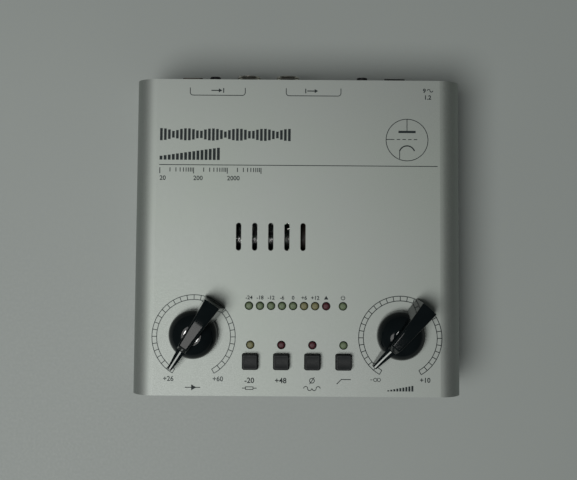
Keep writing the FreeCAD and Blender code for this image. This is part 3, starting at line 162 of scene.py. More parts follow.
def desk_laminate():
    material, shader, place = start_finish("desk_laminate")
    cloud = noise(material, place, 6.0)
    colour_by(material, shader, blend_colours(material, cloud, (0.355, 0.385, 0.375), (0.390, 0.420, 0.405)))
    roughness_by(material, shader, spread(material, noise(material, place, 900.0), 0.55, 0.65))
    return material


desk_half_width = 2.5
desk_mesh = bpy.data.meshes.new("desk")
desk_bm = bmesh.new()
bmesh.ops.create_grid(desk_bm, x_segments=4, y_segments=4, size=desk_half_width)
desk_bm.to_mesh(desk_mesh)
desk_bm.free()
desk = bpy.data.objects.new("desk", desk_mesh)
desk_mesh.materials.append(desk_laminate())
bpy.context.scene.collection.objects.link(desk)


# ---------------------------------------------------------------- bottom tray
# A darker steel tray with upturned front and rear panels, powder coated with a fine orange-peel texture.
# It sits inside the cover's ends and is held by screws through the sides.
def dress(material, *nodes):
    """Gives CAD nodes their finish."""
    for node in nodes:
        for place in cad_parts[node].material_slots:
            place.material = material


def tray_powder_coat():
    material, shader, place = start_finish("tray_powder_coat")
    peel = noise(material, place, 1500.0, 2.0)
    cloud = noise(material, place, 30.0)
    colour_by(material, shader, blend_colours(material, cloud, (0.040, 0.043, 0.046), (0.055, 0.058, 0.061)))
    roughness_by(material, shader, spread(material, peel, 0.42, 0.60))
    relief(material, shader, peel, 0.05 * mm, 0.7)
    return material


dress(tray_powder_coat(), "bottom_tray")


# ---------------------------------------------------------------- rubber feet
# Four moulded rubber feet with a little dust in their pores, glued under the tray's corners.
def foot_rubber():
    material, shader, place = start_finish("foot_rubber")
    dust = noise(material, place, 260.0, 5.0)
    dusty = spread(material, dust, 0, 1, 0.5, 0.8)
    shade = blend_colours(material, dusty, (0.016, 0.016, 0.017), (0.06, 0.058, 0.055))
    colour_by(material, shader, shade)
    roughness_by(material, shader, spread(material, dust, 0.75, 0.92))
    relief(material, shader, noise(material, place, 2400.0), 0.04 * mm)
    return material


dress(foot_rubber(), "rubber_feet")


# ---------------------------------------------------------------- main board
# Fibreglass boards under green solder mask. The weave shows faintly through the lacquer, and copper
# tracks lie under it as lighter lines. Hexagonal steel posts and pan-head screws hold the main board.
def solder_mask():
    material, shader, place = start_finish("solder_mask")
    tracks = material.node_tree.nodes.new("ShaderNodeTexBrick")
    tracks.inputs["Scale"].default_value = 160.0
    tracks.inputs["Mortar Size"].default_value = 0.035
    tracks.inputs["Color1"].default_value = (0, 0, 0, 1)
    tracks.inputs["Color2"].default_value = (0, 0, 0, 1)
    tracks.inputs["Mortar"].default_value = (1, 1, 1, 1)
    material.node_tree.links.new(place, tracks.inputs["Vector"])
    weave = noise(material, place, 1200.0, 1.0)
    mask = blend_colours(material, weave, (0.006, 0.055, 0.020), (0.012, 0.080, 0.030))
    colour_by(material, shader, blend_colours(material, tracks.outputs["Color"], mask, (0.03, 0.16, 0.05)))
    roughness_by(material, shader, spread(material, weave, 0.22, 0.34))
    relief(material, shader, tracks.outputs["Color"], 0.03 * mm)
    shader.inputs["Coat Weight"].default_value = 0.4
    return material


def zinc_plate():
    material, shader, place = start_finish("zinc_plate")
    streak = noise(material, place, 900.0, 4.0, stretch=(1, 1, 0.2))
    colour_by(material, shader, blend_colours(material, streak, (0.42, 0.43, 0.45), (0.60, 0.60, 0.58)))
    roughness_by(material, shader, spread(material, streak, 0.24, 0.42))
    shader.inputs["Metallic"].default_value = 1.0
    return material


dress(solder_mask(), "main_board", "control_board", "valve_riser_board")
dress(zinc_plate(), "board_screws", "board_standoffs", "gain_pot_shaft", "output_pot_shaft", "pot_nuts")


# ---------------------------------------------------------------- parts on the main board
# Electrolytic cans in dark shrunk sleeves, boxed film capacitors, lacquered resistors, black amplifier
# chips, and two regulators clipped to a black anodised heatsink. All are soldered to the board.
def shrunk_sleeve():
    material, shader, place = start_finish("shrunk_sleeve")
    cloud = noise(material, place, 90.0, 3.0)
    colour_by(material, shader, blend_colours(material, cloud, (0.010, 0.014, 0.045), (0.018, 0.024, 0.070)))
    roughness_by(material, shader, spread(material, cloud, 0.22, 0.34))
    return material


def film_box():
    material, shader, place = start_finish("film_box")
    cloud = noise(material, place, 260.0, 3.0)
    colour_by(material, shader, blend_colours(material, cloud, (0.26, 0.022, 0.014), (0.36, 0.040, 0.026)))
    roughness_by(material, shader, spread(material, cloud, 0.26, 0.42))
    return material


def resistor_lacquer():
    material, shader, place = start_finish("resistor_lacquer")
    cloud = noise(material, place, 700.0, 2.0)
    colour_by(material, shader, blend_colours(material, cloud, (0.07, 0.17, 0.34), (0.12, 0.24, 0.42)))
    roughness_by(material, shader, spread(material, cloud, 0.24, 0.38))
    return material


def moulding_epoxy():
    material, shader, place = start_finish("moulding_epoxy")
    grain = noise(material, place, 2200.0, 2.0)
    colour_by(material, shader, blend_colours(material, grain, (0.012, 0.012, 0.013), (0.026, 0.026, 0.027)))
    roughness_by(material, shader, spread(material, grain, 0.50, 0.66))
    return material


def black_anodising():
    material, shader, place = start_finish("black_anodising")
    draw_lines = noise(material, place, 1400.0, 2.0, stretch=(1, 1, 0.05))
    shade = blend_colours(material, draw_lines, (0.014, 0.014, 0.016), (0.030, 0.030, 0.033))
    colour_by(material, shader, shade)
    roughness_by(material, shader, spread(material, draw_lines, 0.34, 0.52))
    shader.inputs["Metallic"].default_value = 0.9
    return material


dress(shrunk_sleeve(), "filter_capacitors")
dress(film_box(), "film_capacitors")
dress(resistor_lacquer(), "resistors")
dress(moulding_epoxy(), "regulators", "amplifier_chips")
dress(black_anodising(), "regulator_heatsink")


# ---------------------------------------------------------------- sockets, switches and pot cases
# Glass-filled black plastic mouldings: the link between the boards, the key switches, the potentiometer
# cases, the XLR and jack sockets, the low-voltage inlet and the power switch's frame.
def moulded_black():
    material, shader, place = start_finish("moulded_black")
    grain = noise(material, place, 1900.0, 2.0)
    flow = noise(material, place, 70.0, 3.0)
    colour_by(material, shader, blend_colours(material, flow, (0.012, 0.012, 0.013), (0.022, 0.022, 0.023)))
    roughness_by(material, shader, spread(material, grain, 0.36, 0.54))
    relief(material, shader, grain, 0.025 * mm)
    return material


def contact_plate():
    material, shader, place = start_finish("contact_plate")
    tarnish = noise(material, place, 420.0, 4.0)
    colour_by(material, shader, blend_colours(material, tarnish, (0.62, 0.60, 0.54), (0.78, 0.76, 0.72)))
    roughness_by(material, shader, spread(material, tarnish, 0.16, 0.34))
    shader.inputs["Metallic"].default_value = 1.0
    return material


black_mouldings = moulded_black()
dress(black_mouldings, "link_housings", "switch_bodies", "gain_pot_body", "output_pot_body")
dress(black_mouldings, "input_xlr_housing", "input_xlr_insert", "output_xlr_housing")
dress(black_mouldings, "input_jack_body", "output_jack_body", "power_inlet", "power_switch_body")
dress(contact_plate(), "link_pins", "lamp_leads", "xlr_contacts", "jack_contacts", "power_inlet_pin")


# ---------------------------------------------------------------- rear fittings
# Nickel-plated nuts clamp the jack sockets by their threaded noses, and a plated sleeve carries the
# thread. The latch tab is a blackened die casting, and the power switch's rocker is a glossier moulding
# with its two marks printed on.
def bright_nickel():
    material, shader, place = start_finish("bright_nickel")
    brushed = noise(material, place, 600.0, 3.0)
    colour_by(material, shader, blend_colours(material, brushed, (0.50, 0.47, 0.41), (0.64, 0.61, 0.55)))
    roughness_by(material, shader, spread(material, brushed, 0.14, 0.28))
    shader.inputs["Metallic"].default_value = 1.0
    return material


def latch_casting():
    material, shader, place = start_finish("latch_casting")
    skin = noise(material, place, 1100.0, 3.0)
    colour_by(material, shader, blend_colours(material, skin, (0.055, 0.048, 0.040), (0.10, 0.09, 0.08)))
    roughness_by(material, shader, spread(material, skin, 0.34, 0.50))
    shader.inputs["Metallic"].default_value = 0.9
    relief(material, shader, skin, 0.02 * mm)
    return material


def rocker_gloss():
    material, shader, place = start_finish("rocker_gloss")
    grain = noise(material, place, 2000.0, 1.0)
    colour_by(material, shader, blend_colours(material, grain, (0.010, 0.010, 0.011), (0.018, 0.018, 0.019)))
    roughness_by(material, shader, spread(material, grain, 0.18, 0.28))
    return material


plated = bright_nickel()
dress(plated, "jack_nuts")
dress(latch_casting(), "input_xlr_latch")
dress(rocker_gloss(), "power_switch_rocker")

sleeve_bore = 4.70 * mm
thread_root = 4.80 * mm
thread_crest = 4.98 * mm
thread_pitch = 0.75 * mm
thread_rise = 0.45 * thread_pitch
sleeve_end_gap = 0.05 * mm
jack_places = (-21.1 * mm, -4.4 * mm)
jack_z = 21.0 * mm
sleeve_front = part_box("jack_nuts")[1].y + sleeve_end_gap
sleeve_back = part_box("input_jack_body")[1].y - sleeve_end_gap
jack_threads = bmesh.new()
for x in jack_places:
    section = [(sleeve_bore, sleeve_back), (sleeve_bore, sleeve_front)]
    y = sleeve_front
    while y + thread_pitch < sleeve_back:
        section += [(thread_root, y), (thread_crest, y + thread_rise)]
        y += thread_pitch
    section += [(thread_root, y), (thread_root, sleeve_back)]
    ring = [jack_threads.verts.new((x + out, along, jack_z)) for out, along in section]
    edges = [jack_threads.edges.new((ring[i - 1], ring[i])) for i in range(len(ring))]
    bmesh.ops.spin(
        jack_threads,
        geom=ring + edges,
        cent=(x, 0, jack_z),
        axis=(0, 1, 0),
        angle=math.tau,
        steps=64,
        use_merge=True,
    )
bmesh.ops.recalc_face_normals(jack_threads, faces=jack_threads.faces)
thread_mesh = bpy.data.meshes.new("jack_threads")
jack_threads.to_mesh(thread_mesh)
jack_threads.free()
thread_mesh.materials.append(plated)
thread_piece = bpy.data.objects.new("jack_threads", thread_mesh)
bpy.context.scene.collection.objects.link(thread_piece)
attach(thread_piece, "case")


# ---------------------------------------------------------------- valve
# A nine-pin glass valve lies under the vent slots: a clear bulb, grey carbonised anodes between mica
# discs, a ring getter, and a dark phenolic socket that holds it on its upright board.
def clear_glass():
    material, shader, place = start_finish("clear_glass")
    ripple = noise(material, place, 60.0, 2.0)
    colour_by(material, shader, blend_colours(material, ripple, (0.90, 0.95, 0.94), (0.97, 0.99, 0.98)))
    roughness_by(material, shader, spread(material, ripple, 0.12, 0.20))
    relief(material, shader, ripple, 0.05 * mm, 0.3)
    shader.inputs["Transmission Weight"].default_value = 1.0
    shader.inputs["IOR"].default_value = 1.30
    return material


def carbonised_nickel():
    material, shader, place = start_finish("carbonised_nickel")
    soot = noise(material, place, 500.0, 4.0)
    colour_by(material, shader, blend_colours(material, soot, (0.035, 0.035, 0.037), (0.085, 0.083, 0.080)))
    roughness_by(material, shader, spread(material, soot, 0.50, 0.70))
    shader.inputs["Metallic"].default_value = 0.5
    return material


def sheet_mica():
    material, shader, place = start_finish("sheet_mica")
    layers = noise(material, place, 200.0, 4.0, stretch=(1, 0.3, 1))
    colour_by(material, shader, blend_colours(material, layers, (0.42, 0.40, 0.34), (0.58, 0.56, 0.50)))
    roughness_by(material, shader, spread(material, layers, 0.25, 0.45))
    shader.inputs["Transmission Weight"].default_value = 0.3
    return material


def socket_moulding():
    material, shader, place = start_finish("socket_moulding")
    grain = noise(material, place, 900.0, 3.0)
    colour_by(material, shader, blend_colours(material, grain, (0.020, 0.015, 0.011), (0.036, 0.026, 0.019)))
    roughness_by(material, shader, spread(material, grain, 0.45, 0.65))
    relief(material, shader, grain, 0.03 * mm)
    return material


dress(clear_glass(), "valve_envelope", "valve_stem")
dress(carbonised_nickel(), "valve_anodes")
dress(sheet_mica(), "valve_spacers")
dress(socket_moulding(), "valve_socket")
dress(contact_plate(), "valve_pins", "valve_getter")


# ---------------------------------------------------------------- lamps
# Cast epoxy lamps with a frosted, tinted body. They are off. Their colour is painted deeper towards the rim
# as painted shade, and paler towards the crown, where the reflector cup shows and a painted highlight lies.
# Turned nylon tubes hold them up, round their two leads.
lamp_rim = z_top - 0.15 * mm
lamp_crown = z_top + 0.45 * mm


def lamp_epoxy(name, shaded_rim, pale):
    material, shader, place = start_finish(name)
    split = material.node_tree.nodes.new("ShaderNodeSeparateXYZ")
    material.node_tree.links.new(place, split.inputs["Vector"])
    # Colour graded by height: painted shade low on the dome's rim, painted light over its crown.
    crown_light = spread(material, split.outputs["Z"], 0.0, 1.0, lamp_rim, lamp_crown)
    cloud = noise(material, place, 900.0, 2.0)
    dull = tuple(0.8 * c for c in pale)
    top = blend_colours(material, cloud, dull, pale)
    colour_by(material, shader, blend_colours(material, crown_light, shaded_rim, top))
    roughness_by(material, shader, spread(material, cloud, 0.38, 0.52))
    shader.inputs["Subsurface Weight"].default_value = 0.3
    shader.inputs["Subsurface Radius"].default_value = (0.6, 0.6, 0.4)
    shader.inputs["Subsurface Scale"].default_value = 1.0 * mm
    shader.inputs["Specular IOR Level"].default_value = 0.3
    return material


def natural_nylon():
    material, shader, place = start_finish("natural_nylon")
    cloud = noise(material, place, 300.0)
    colour_by(material, shader, blend_colours(material, cloud, (0.56, 0.55, 0.49), (0.66, 0.65, 0.60)))
    roughness_by(material, shader, spread(material, cloud, 0.40, 0.55))
    shader.inputs["Subsurface Weight"].default_value = 0.2
    return material


dress(lamp_epoxy("green_epoxy", (0.050, 0.085, 0.040), (0.165, 0.215, 0.125)), "green_lamps")
dress(lamp_epoxy("yellow_epoxy", (0.085, 0.085, 0.035), (0.225, 0.220, 0.115)), "yellow_lamps")
dress(lamp_epoxy("red_epoxy", (0.035, 0.009, 0.011), (0.085, 0.022, 0.028)), "red_lamps")
dress(natural_nylon(), "lamp_spacers", "pad_plunger", "phantom_plunger", "phase_plunger", "limiter_plunger")


# ---------------------------------------------------------------- top cover
# One sheet of steel, punched, folded over two long bends and sprayed with fine metallic silver paint.
# It drops over the tray and the controls, and screws through its sides hold it.
def silver_paint():
    material, shader, place = start_finish("silver_paint")
    flake = noise(material, place, 3400.0, 2.0)
    cloud = noise(material, place, 22.0, 4.0)
    glint = spread(material, flake, 0, 1)
    shade = blend_colours(material, glint, (0.355, 0.385, 0.360), (0.435, 0.470, 0.440))
    tinge = blend_colours(material, spread(material, cloud, 0.0, 0.35), shade, (0.410, 0.420, 0.430))
    colour_by(material, shader, tinge)
    roughness_by(material, shader, spread(material, flake, 0.57, 0.68))
    shader.inputs["Metallic"].default_value = 0.96
    relief(material, shader, flake, 0.02 * mm, 0.6)
    return material


dress(silver_paint(), "top_cover")


# Pan-head screws hold the cover at its sides and the XLR sockets at the rear. They are black oxide, and
# their drive recesses are rubbed a little brighter.
def black_oxide():
    material, shader, place = start_finish("black_oxide")
    rub = noise(material, place, 700.0)
    rubbed = spread(material, rub, 0, 1, 0.45, 0.75)
    shade = blend_colours(material, rubbed, (0.018, 0.018, 0.020), (0.09, 0.09, 0.092))
    colour_by(material, shader, shade)
    roughness_by(material, shader, spread(material, rub, 0.30, 0.48))
    shader.inputs["Metallic"].default_value = 0.8
    return material


dress(black_oxide(), "case_screws")


# ---------------------------------------------------------------- printing on the cover
# Screen-printed in one pass of dark ink, a few hundredths of a millimetre thick: ring scales with plain
# end numbers, meter numbers, key symbols, a rule, socket brackets and plain ornaments.
ink_low = -0.02 * mm
ink_high = 0.03 * mm


def ink_bar(bm, x, y, length, width, turn=0.0):
    """A straight stroke about (x, y), turned anticlockwise by degrees."""
    place = (
        Matrix.Translation((x, y, (ink_low + ink_high) / 2))
        @ Matrix.Rotation(math.radians(turn), 4, "Z")
        @ Matrix.Diagonal((length, width, ink_high - ink_low, 1))
    )
    bmesh.ops.create_cube(bm, size=1.0, matrix=place)


def ink_arc(bm, x, y, radius, width, start=0.0, sweep=360.0):
    """A curved stroke about (x, y), from start through sweep, in degrees anticlockwise from +X."""
    turn = Matrix.Rotation(math.radians(start), 4, "Z")
    edges_of_stroke = (
        (radius - width / 2, ink_low),
        (radius + width / 2, ink_low),
        (radius + width / 2, ink_high),
        (radius - width / 2, ink_high),
    )
    section = bm.faces.new(
        [bm.verts.new(Vector((x, y, 0)) + turn @ Vector((out, 0, up))) for out, up in edges_of_stroke]
    )
    swept = list(section.edges) + list(section.verts)
    closed = sweep >= 360.0
    if closed:
        bmesh.ops.delete(bm, geom=[section], context="FACES_ONLY")
    else:
        swept.append(section)
    bmesh.ops.spin(
        bm,
        geom=swept,
        cent=(x, y, 0),
        axis=(0, 0, 1),
        angle=math.radians(sweep),
        steps=max(6, round(sweep / 6)),
        use_merge=closed,
    )


def ink_triangle(bm, x, y, radius, turn):
    """A filled triangle with one corner turned anticlockwise from +X."""
    place = Matrix.Translation((x, y, (ink_low + ink_high) / 2))
    place = place @ Matrix.Rotation(math.radians(turn - 90), 4, "Z")
    bmesh.ops.create_cone(
        bm,
        cap_ends=True,
        cap_tris=False,
        segments=3,
        radius1=radius,
        radius2=radius,
        depth=ink_high - ink_low,
        matrix=place,
    )


def ink_figures(bm, figures, x, y, height, weight=0.012):
    """Plain figures centred on (x, y), of the given height, with their strokes thickened by weight."""
    figure_share = 0.70
    curve = bpy.data.curves.new("figures", "FONT")
    curve.body = figures
    curve.size = height / figure_share
    curve.offset = weight * height
    curve.align_x = "CENTER"
    curve.extrude = (ink_high - ink_low) / 2
    curve.resolution_u = 3
    holder = bpy.data.objects.new("figures", curve)
    mesh = bpy.data.meshes.new_from_object(holder)
    mesh.transform(Matrix.Translation((x, y - height / 2, (ink_low + ink_high) / 2)))
    bm.from_mesh(mesh)
    bpy.data.objects.remove(holder)
    bpy.data.curves.remove(curve)
    bpy.data.meshes.remove(mesh)


def lay_ink(name, bm, place, material, body="case"):
    """Sets flat ink on the surface that place describes, and makes it a piece."""
    bmesh.ops.remove_doubles(bm, verts=bm.verts, dist=0.0005 * mm)
    bmesh.ops.transform(bm, matrix=place, verts=bm.verts)
    bmesh.ops.recalc_face_normals(bm, faces=bm.faces)
    mesh = bpy.data.meshes.new(name)
    bm.to_mesh(mesh)
    bm.free()
    mesh.materials.append(material)
    piece = bpy.data.objects.new(name, mesh)
    bpy.context.scene.collection.objects.link(piece)
    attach(piece, body)


def screen_ink(name, dark, pale):
    material, shader, place = start_finish(name)
    mesh_marks = noise(material, place, 2600.0, 2.0)
    cover_strength = noise(material, place, 120.0, 3.0)
    ink = blend_colours(material, mesh_marks, dark, pale)
    colour_by(material, shader, blend_colours(material, spread(material, cover_strength, 0, 0.5), ink, pale))
    roughness_by(material, shader, spread(material, mesh_marks, 0.45, 0.65))
    shader.inputs["Specular IOR Level"].default_value = 0.12
    return material


dark_ink = screen_ink("dark_ink", (0.014, 0.020, 0.022), (0.030, 0.038, 0.040))
thin_ink = screen_ink("thin_ink", (0.070, 0.085, 0.085), (0.115, 0.130, 0.130))
on_cover = Matrix.Translation((x_mid, y_mid, z_top))

# The ring scales: two arcs joined by a rung every ten degrees, closed at both ends, a little nearer the
# front than the knobs' own axes. Plain numbers stand at their ends.
knob_x = 41.4 * mm
scale_y = -40.38 * mm
scale_inner = 14.8 * mm
scale_outer = 16.7 * mm
scale_middle = (scale_inner + scale_outer) / 2
scale_line = 0.31 * mm
scale_start = -60
scale_sweep = 300
scale_step = 10
end_number_out = 9.9 * mm
end_number_y = -57.0 * mm
end_number_height = 1.9 * mm
end_number_weight = 0.03
minus_out = 11.6 * mm
minus_length = 0.9 * mm
minus_line = 0.25 * mm
endless_out = 9.3 * mm
endless_half = 0.72 * mm
endless_radius = 0.66 * mm
endless_line = 0.24 * mm

for name, ink, x, low_mark, high_mark in (
    ("gain_scale", thin_ink, -knob_x, "+26", "+60"),
    ("output_scale", dark_ink, knob_x, "", "+10"),
):
    bm = bmesh.new()
    for radius in (scale_inner, scale_outer):
        ink_arc(bm, x, scale_y, radius, scale_line, scale_start, scale_sweep)
    for step in range(0, scale_sweep + 1, scale_step):
        angle = scale_start + step
        ink_bar(
            bm,
            x + scale_middle * math.cos(math.radians(angle)),
            scale_y + scale_middle * math.sin(math.radians(angle)),
            scale_outer - scale_inner,
            scale_line,
            angle,
        )
    high_x, low_x = x + end_number_out, x - end_number_out
    ink_figures(bm, high_mark, high_x, end_number_y, end_number_height, end_number_weight)
    if low_mark:
        ink_figures(bm, low_mark, low_x, end_number_y, end_number_height, end_number_weight)
    else:
        ink_bar(bm, x - minus_out, end_number_y, minus_length, minus_line)
        for side in (-1, 1):
            loop_x = x - endless_out + side * endless_half
            ink_arc(bm, loop_x, end_number_y, endless_radius, endless_line)
    lay_ink(name, bm, on_cover, ink)
# Knob symbols: an amplifier triangle under the gain knob, and rising level bars under the output knob.
symbol_y = -60.45 * mm
symbol_line = 0.3 * mm
amplifier_radius = 1.35 * mm
rising_bars = 9
rising_base = -61.5 * mm
rising_width = 0.8 * mm
knob_symbols = bmesh.new()
ink_triangle(knob_symbols, -knob_x, symbol_y, amplifier_radius, 0)
for lead_x, lead_length in ((-43.3 * mm, 2.6 * mm), (-39.4 * mm, 2.0 * mm)):
    ink_bar(knob_symbols, lead_x, symbol_y, lead_length, symbol_line)
for i in range(rising_bars):
    bar_height = (0.45 + 0.22 * i) * mm
    bar_x = (36.6 + 1.2 * i) * mm
    ink_bar(knob_symbols, bar_x, rising_base + bar_height / 2, rising_width, bar_height)
lay_ink("knob_symbols", knob_symbols, on_cover, dark_ink)
# Meter numbers over the lamps, a filled triangle over the overload lamp, and a power mark.
lamp_first_x = -19.33 * mm
lamp_pitch = 4.425 * mm
power_lamp_x = 18.4 * mm
meter_numbers_y = -24.6 * mm
meter_number_height = 1.5 * mm
meter_number_weight = 0.03
overload_radius = 1.0 * mm
power_ring_radius = 0.75 * mm
power_line = 0.26 * mm
meter_figures = ("-24", "-18", "-12", "-6", "0", "+6", "+12")
meter_print = bmesh.new()
for i, figures in enumerate(meter_figures):
    x = lamp_first_x + i * lamp_pitch
    ink_figures(meter_print, figures, x, meter_numbers_y, meter_number_height, meter_number_weight)
overload_x = lamp_first_x + len(meter_figures) * lamp_pitch
ink_triangle(meter_print, overload_x, meter_numbers_y - 0.15 * mm, overload_radius, 90)
ink_arc(meter_print, power_lamp_x, meter_numbers_y, power_ring_radius, power_line, 125, 290)
ink_bar(meter_print, power_lamp_x, meter_numbers_y + 0.55 * mm, power_line, 0.85 * mm)
lay_ink("meter_print", meter_print, on_cover, dark_ink)
# Key symbols: two plain numbers, the first over a resistor's sign, a ring with a stroke through it over two
# opposed half waves, and a curve that levels off.
key_label_y = -57.5 * mm
key_second_y = -60.6 * mm
key_number_height = 2.1 * mm
key_number_weight = 0.025
pad_x = -18.9 * mm
phantom_x = -6.4 * mm
phase_x = 6.1 * mm
key_line = 0.3 * mm
resistor_line = 0.28 * mm
limiter_line = 0.32 * mm
wave_radius = 0.8 * mm
key_print = bmesh.new()
ink_figures(key_print, "-20", pad_x, key_label_y, key_number_height, key_number_weight)
ink_figures(key_print, "+48", phantom_x, key_label_y, key_number_height, key_number_weight)
for side in (-1, 1):
    ink_bar(key_print, pad_x + 2.2 * side * mm, key_second_y, 1.4 * mm, key_line)
    ink_bar(key_print, pad_x, key_second_y + 0.5 * side * mm, 3.0 * mm, resistor_line)
    ink_bar(key_print, pad_x + 1.5 * side * mm, key_second_y, resistor_line, 1.28 * mm)
ink_arc(key_print, phase_x, key_label_y, 0.95 * mm, key_line)
ink_bar(key_print, phase_x, key_label_y, 3.3 * mm, key_line, 55)
for x, start in ((3.6 * mm, 0), (5.2 * mm, 180), (7.0 * mm, 180), (8.6 * mm, 0)):
    ink_arc(key_print, x, key_second_y, wave_radius, key_line, start, 180)
ink_bar(key_print, 16.9 * mm, key_label_y - 0.35 * mm, 2.6 * mm, limiter_line, 45)
ink_bar(key_print, 19.65 * mm, key_label_y + 0.55 * mm, 3.9 * mm, limiter_line)
lay_ink("key_print", key_print, on_cover, dark_ink)
# The long rule, and under it a logarithmic frequency ruler with plain numbers.
rule_left = -56.3 * mm
rule_right = 56.6 * mm
rule_y = 28.7 * mm
rule_line = 0.3 * mm
ruler_left = rule_left + 0.3 * mm
ruler_length = 41.0 * mm
ruler_top = 27.6 * mm
ruler_decades = 3
tick_line = 0.34 * mm
long_tick = 2.4 * mm
short_tick = 1.7 * mm
ruler_number_y = 23.4 * mm
ruler_number_height = 1.8 * mm
ruler_number_weight = 0.02
rule_print = bmesh.new()
ink_bar(rule_print, (rule_left + rule_right) / 2, rule_y, rule_right - rule_left, rule_line)
for decade in range(ruler_decades):
    for digit in range(1, 10):
        place_along = (decade + math.log10(digit)) / ruler_decades
        tick = long_tick if digit == 1 else short_tick
        tick_x = ruler_left + place_along * ruler_length
        ink_bar(rule_print, tick_x, ruler_top - tick / 2, tick_line, tick)
ink_bar(rule_print, ruler_left + ruler_length, ruler_top - long_tick / 2, tick_line, long_tick)
for decade, figures in enumerate(("20", "200", "2000")):
    x = ruler_left + decade / ruler_decades * ruler_length + (1.2 + 0.65 * decade) * mm
    ink_figures(rule_print, figures, x, ruler_number_y, ruler_number_height, ruler_number_weight)
lay_ink("rule_print", rule_print, on_cover, dark_ink)
# Two rows of upright bars in the bold weight of a heading: a swelling tone, and a rising level.
heading_left = -55.6 * mm
tone_bars = 33
tone_waves = 5.0
tone_pitch = 1.625 * mm
tone_width = 1.05 * mm
tone_height = 5.0 * mm
tone_y = 41.1 * mm
level_bars = 15
level_pitch = 1.66 * mm
level_width = 1.15 * mm
level_first_height = 1.6 * mm
level_last_height = 5.0 * mm
level_base = 30.7 * mm
title_print = bmesh.new()
for i in range(tone_bars):
    swell = 0.5 + 0.5 * abs(math.cos(tone_waves * math.pi * i / (tone_bars - 1)))
    ink_bar(title_print, heading_left + tone_pitch * i, tone_y, tone_width, tone_height * swell)
for i in range(level_bars):
    height = level_first_height + (level_last_height - level_first_height) * i / (level_bars - 1)
    ink_bar(title_print, heading_left + level_pitch * i, level_base + height / 2, level_width, height)
lay_ink("title_print", title_print, on_cover, dark_ink)
# The textbook sign of a triode valve, in the corner.
emblem_x, emblem_y = 44.2 * mm, 39.4 * mm
emblem_radius = 8.5 * mm
thin_line, plate_line, cathode_line = 0.3 * mm, 0.95 * mm, 0.5 * mm
grid_dashes = 4
grid_pitch = 2.3 * mm
grid_dash = 1.4 * mm
grid_y = emblem_y + 0.2 * mm
emblem = bmesh.new()
ink_arc(emblem, emblem_x, emblem_y, emblem_radius, thin_line)
ink_bar(emblem, emblem_x, emblem_y + 3.3 * mm, 7.0 * mm, plate_line)
ink_bar(emblem, emblem_x, emblem_y + 6.1 * mm, thin_line, 4.8 * mm)
for i in range(grid_dashes):
    ink_bar(emblem, emblem_x + (i - (grid_dashes - 1) / 2) * grid_pitch, grid_y, grid_dash, thin_line)
ink_bar(emblem, emblem_x - 6.8 * mm, grid_y, 3.4 * mm, thin_line)
ink_arc(emblem, emblem_x, emblem_y - 5.6 * mm, 3.2 * mm, cathode_line, 20, 140)
ink_bar(emblem, emblem_x - 3.0 * mm, emblem_y - 6.1 * mm, thin_line, 3.2 * mm)
lay_ink("emblem_print", emblem, on_cover, dark_ink)
# Brackets behind the sockets: a rounded trough with an arrow into a bar for the inputs, and an arrow
# out of a bar for the outputs. Plain numbers and a wave sign stand by the power inlet.
bracket_low = 57.2 * mm
bracket_high = 60.3 * mm
bracket_corner = 1.2 * mm
bracket_line = 0.3 * mm
bracket_arm = bracket_high - bracket_low - bracket_corner
arrow_y = 59.2 * mm
arrow_line = 0.4 * mm
arrow_radius = 0.95 * mm
arrow_stop_height = 1.9 * mm
rating_y = 59.65 * mm
rating_height = 1.7 * mm
rating_weight = 0.04
rating_wave_radius = 0.55 * mm
rating_wave_line = 0.32 * mm
bracket_print = bmesh.new()
for left, right, arrow_stop in ((-44.1 * mm, -21.7 * mm, 2.4 * mm), (-5.0 * mm, 17.3 * mm, -3.2 * mm)):
    middle = (left + right) / 2
    ink_bar(bracket_print, middle, bracket_low, right - left - 2 * bracket_corner, bracket_line)
    for x, start in ((left + bracket_corner, 180), (right - bracket_corner, 270)):
        y = bracket_low + bracket_corner
        ink_arc(bracket_print, x, y, bracket_corner, bracket_line, start, 90)
    for x in (left, right):
        ink_bar(bracket_print, x, bracket_high - bracket_arm / 2, bracket_line, bracket_arm)
    ink_bar(bracket_print, middle - 1.0 * mm, arrow_y, 3.2 * mm, arrow_line)
    ink_triangle(bracket_print, middle + 0.9 * mm, arrow_y, arrow_radius, 0)
    ink_bar(bracket_print, middle + arrow_stop, arrow_y, arrow_line, arrow_stop_height)
ink_figures(bracket_print, "9", 51.3 * mm, rating_y, rating_height, rating_weight)
for side, start in ((-1, 0), (1, 180)):
    x = 53.6 * mm + side * rating_wave_radius
    ink_arc(bracket_print, x, rating_y, rating_wave_radius, rating_wave_line, start, 180)
ink_figures(bracket_print, "1.2", 52.6 * mm, 56.9 * mm, rating_height, rating_weight)
lay_ink("socket_print", bracket_print, on_cover, dark_ink)
# ---------------------------------------------------------------- printing on the rear
# Pale ink on the tray's dark rear panel: an arrow in and an arrow out between the sockets of each pair,
# and the supply's sign over the inlet. A bar and a ring are printed on the rocker's two halves.
pale_ink = screen_ink("pale_ink", (0.42, 0.44, 0.43), (0.52, 0.54, 0.53))
on_rear = (
    Matrix.Translation((0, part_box("bottom_tray")[1].y, 0))
    @ Matrix.Rotation(math.pi, 4, "Z")
    @ Matrix.Rotation(math.pi / 2, 4, "X")
)
rear_arrow_z = 39.3 * mm
rear_arrow_radius = 1.1 * mm
rear_arrow_stop_height = 2.2 * mm
supply_z = 28.4 * mm
supply_height = 2.2 * mm
supply_wave_radius = 0.75 * mm
supply_wave_line = 0.36 * mm
rear_print = bmesh.new()
for x, arrow_stop in ((27.6 * mm, 3.0 * mm), (-6.4 * mm, -3.6 * mm)):
    ink_bar(rear_print, x - 0.8 * mm, rear_arrow_z, 3.4 * mm, arrow_line)
    ink_triangle(rear_print, x + 1.2 * mm, rear_arrow_z, rear_arrow_radius, 0)
    ink_bar(rear_print, x + arrow_stop, rear_arrow_z, arrow_line, rear_arrow_stop_height)
ink_figures(rear_print, "9", -51.0 * mm, supply_z, supply_height, 0.02)
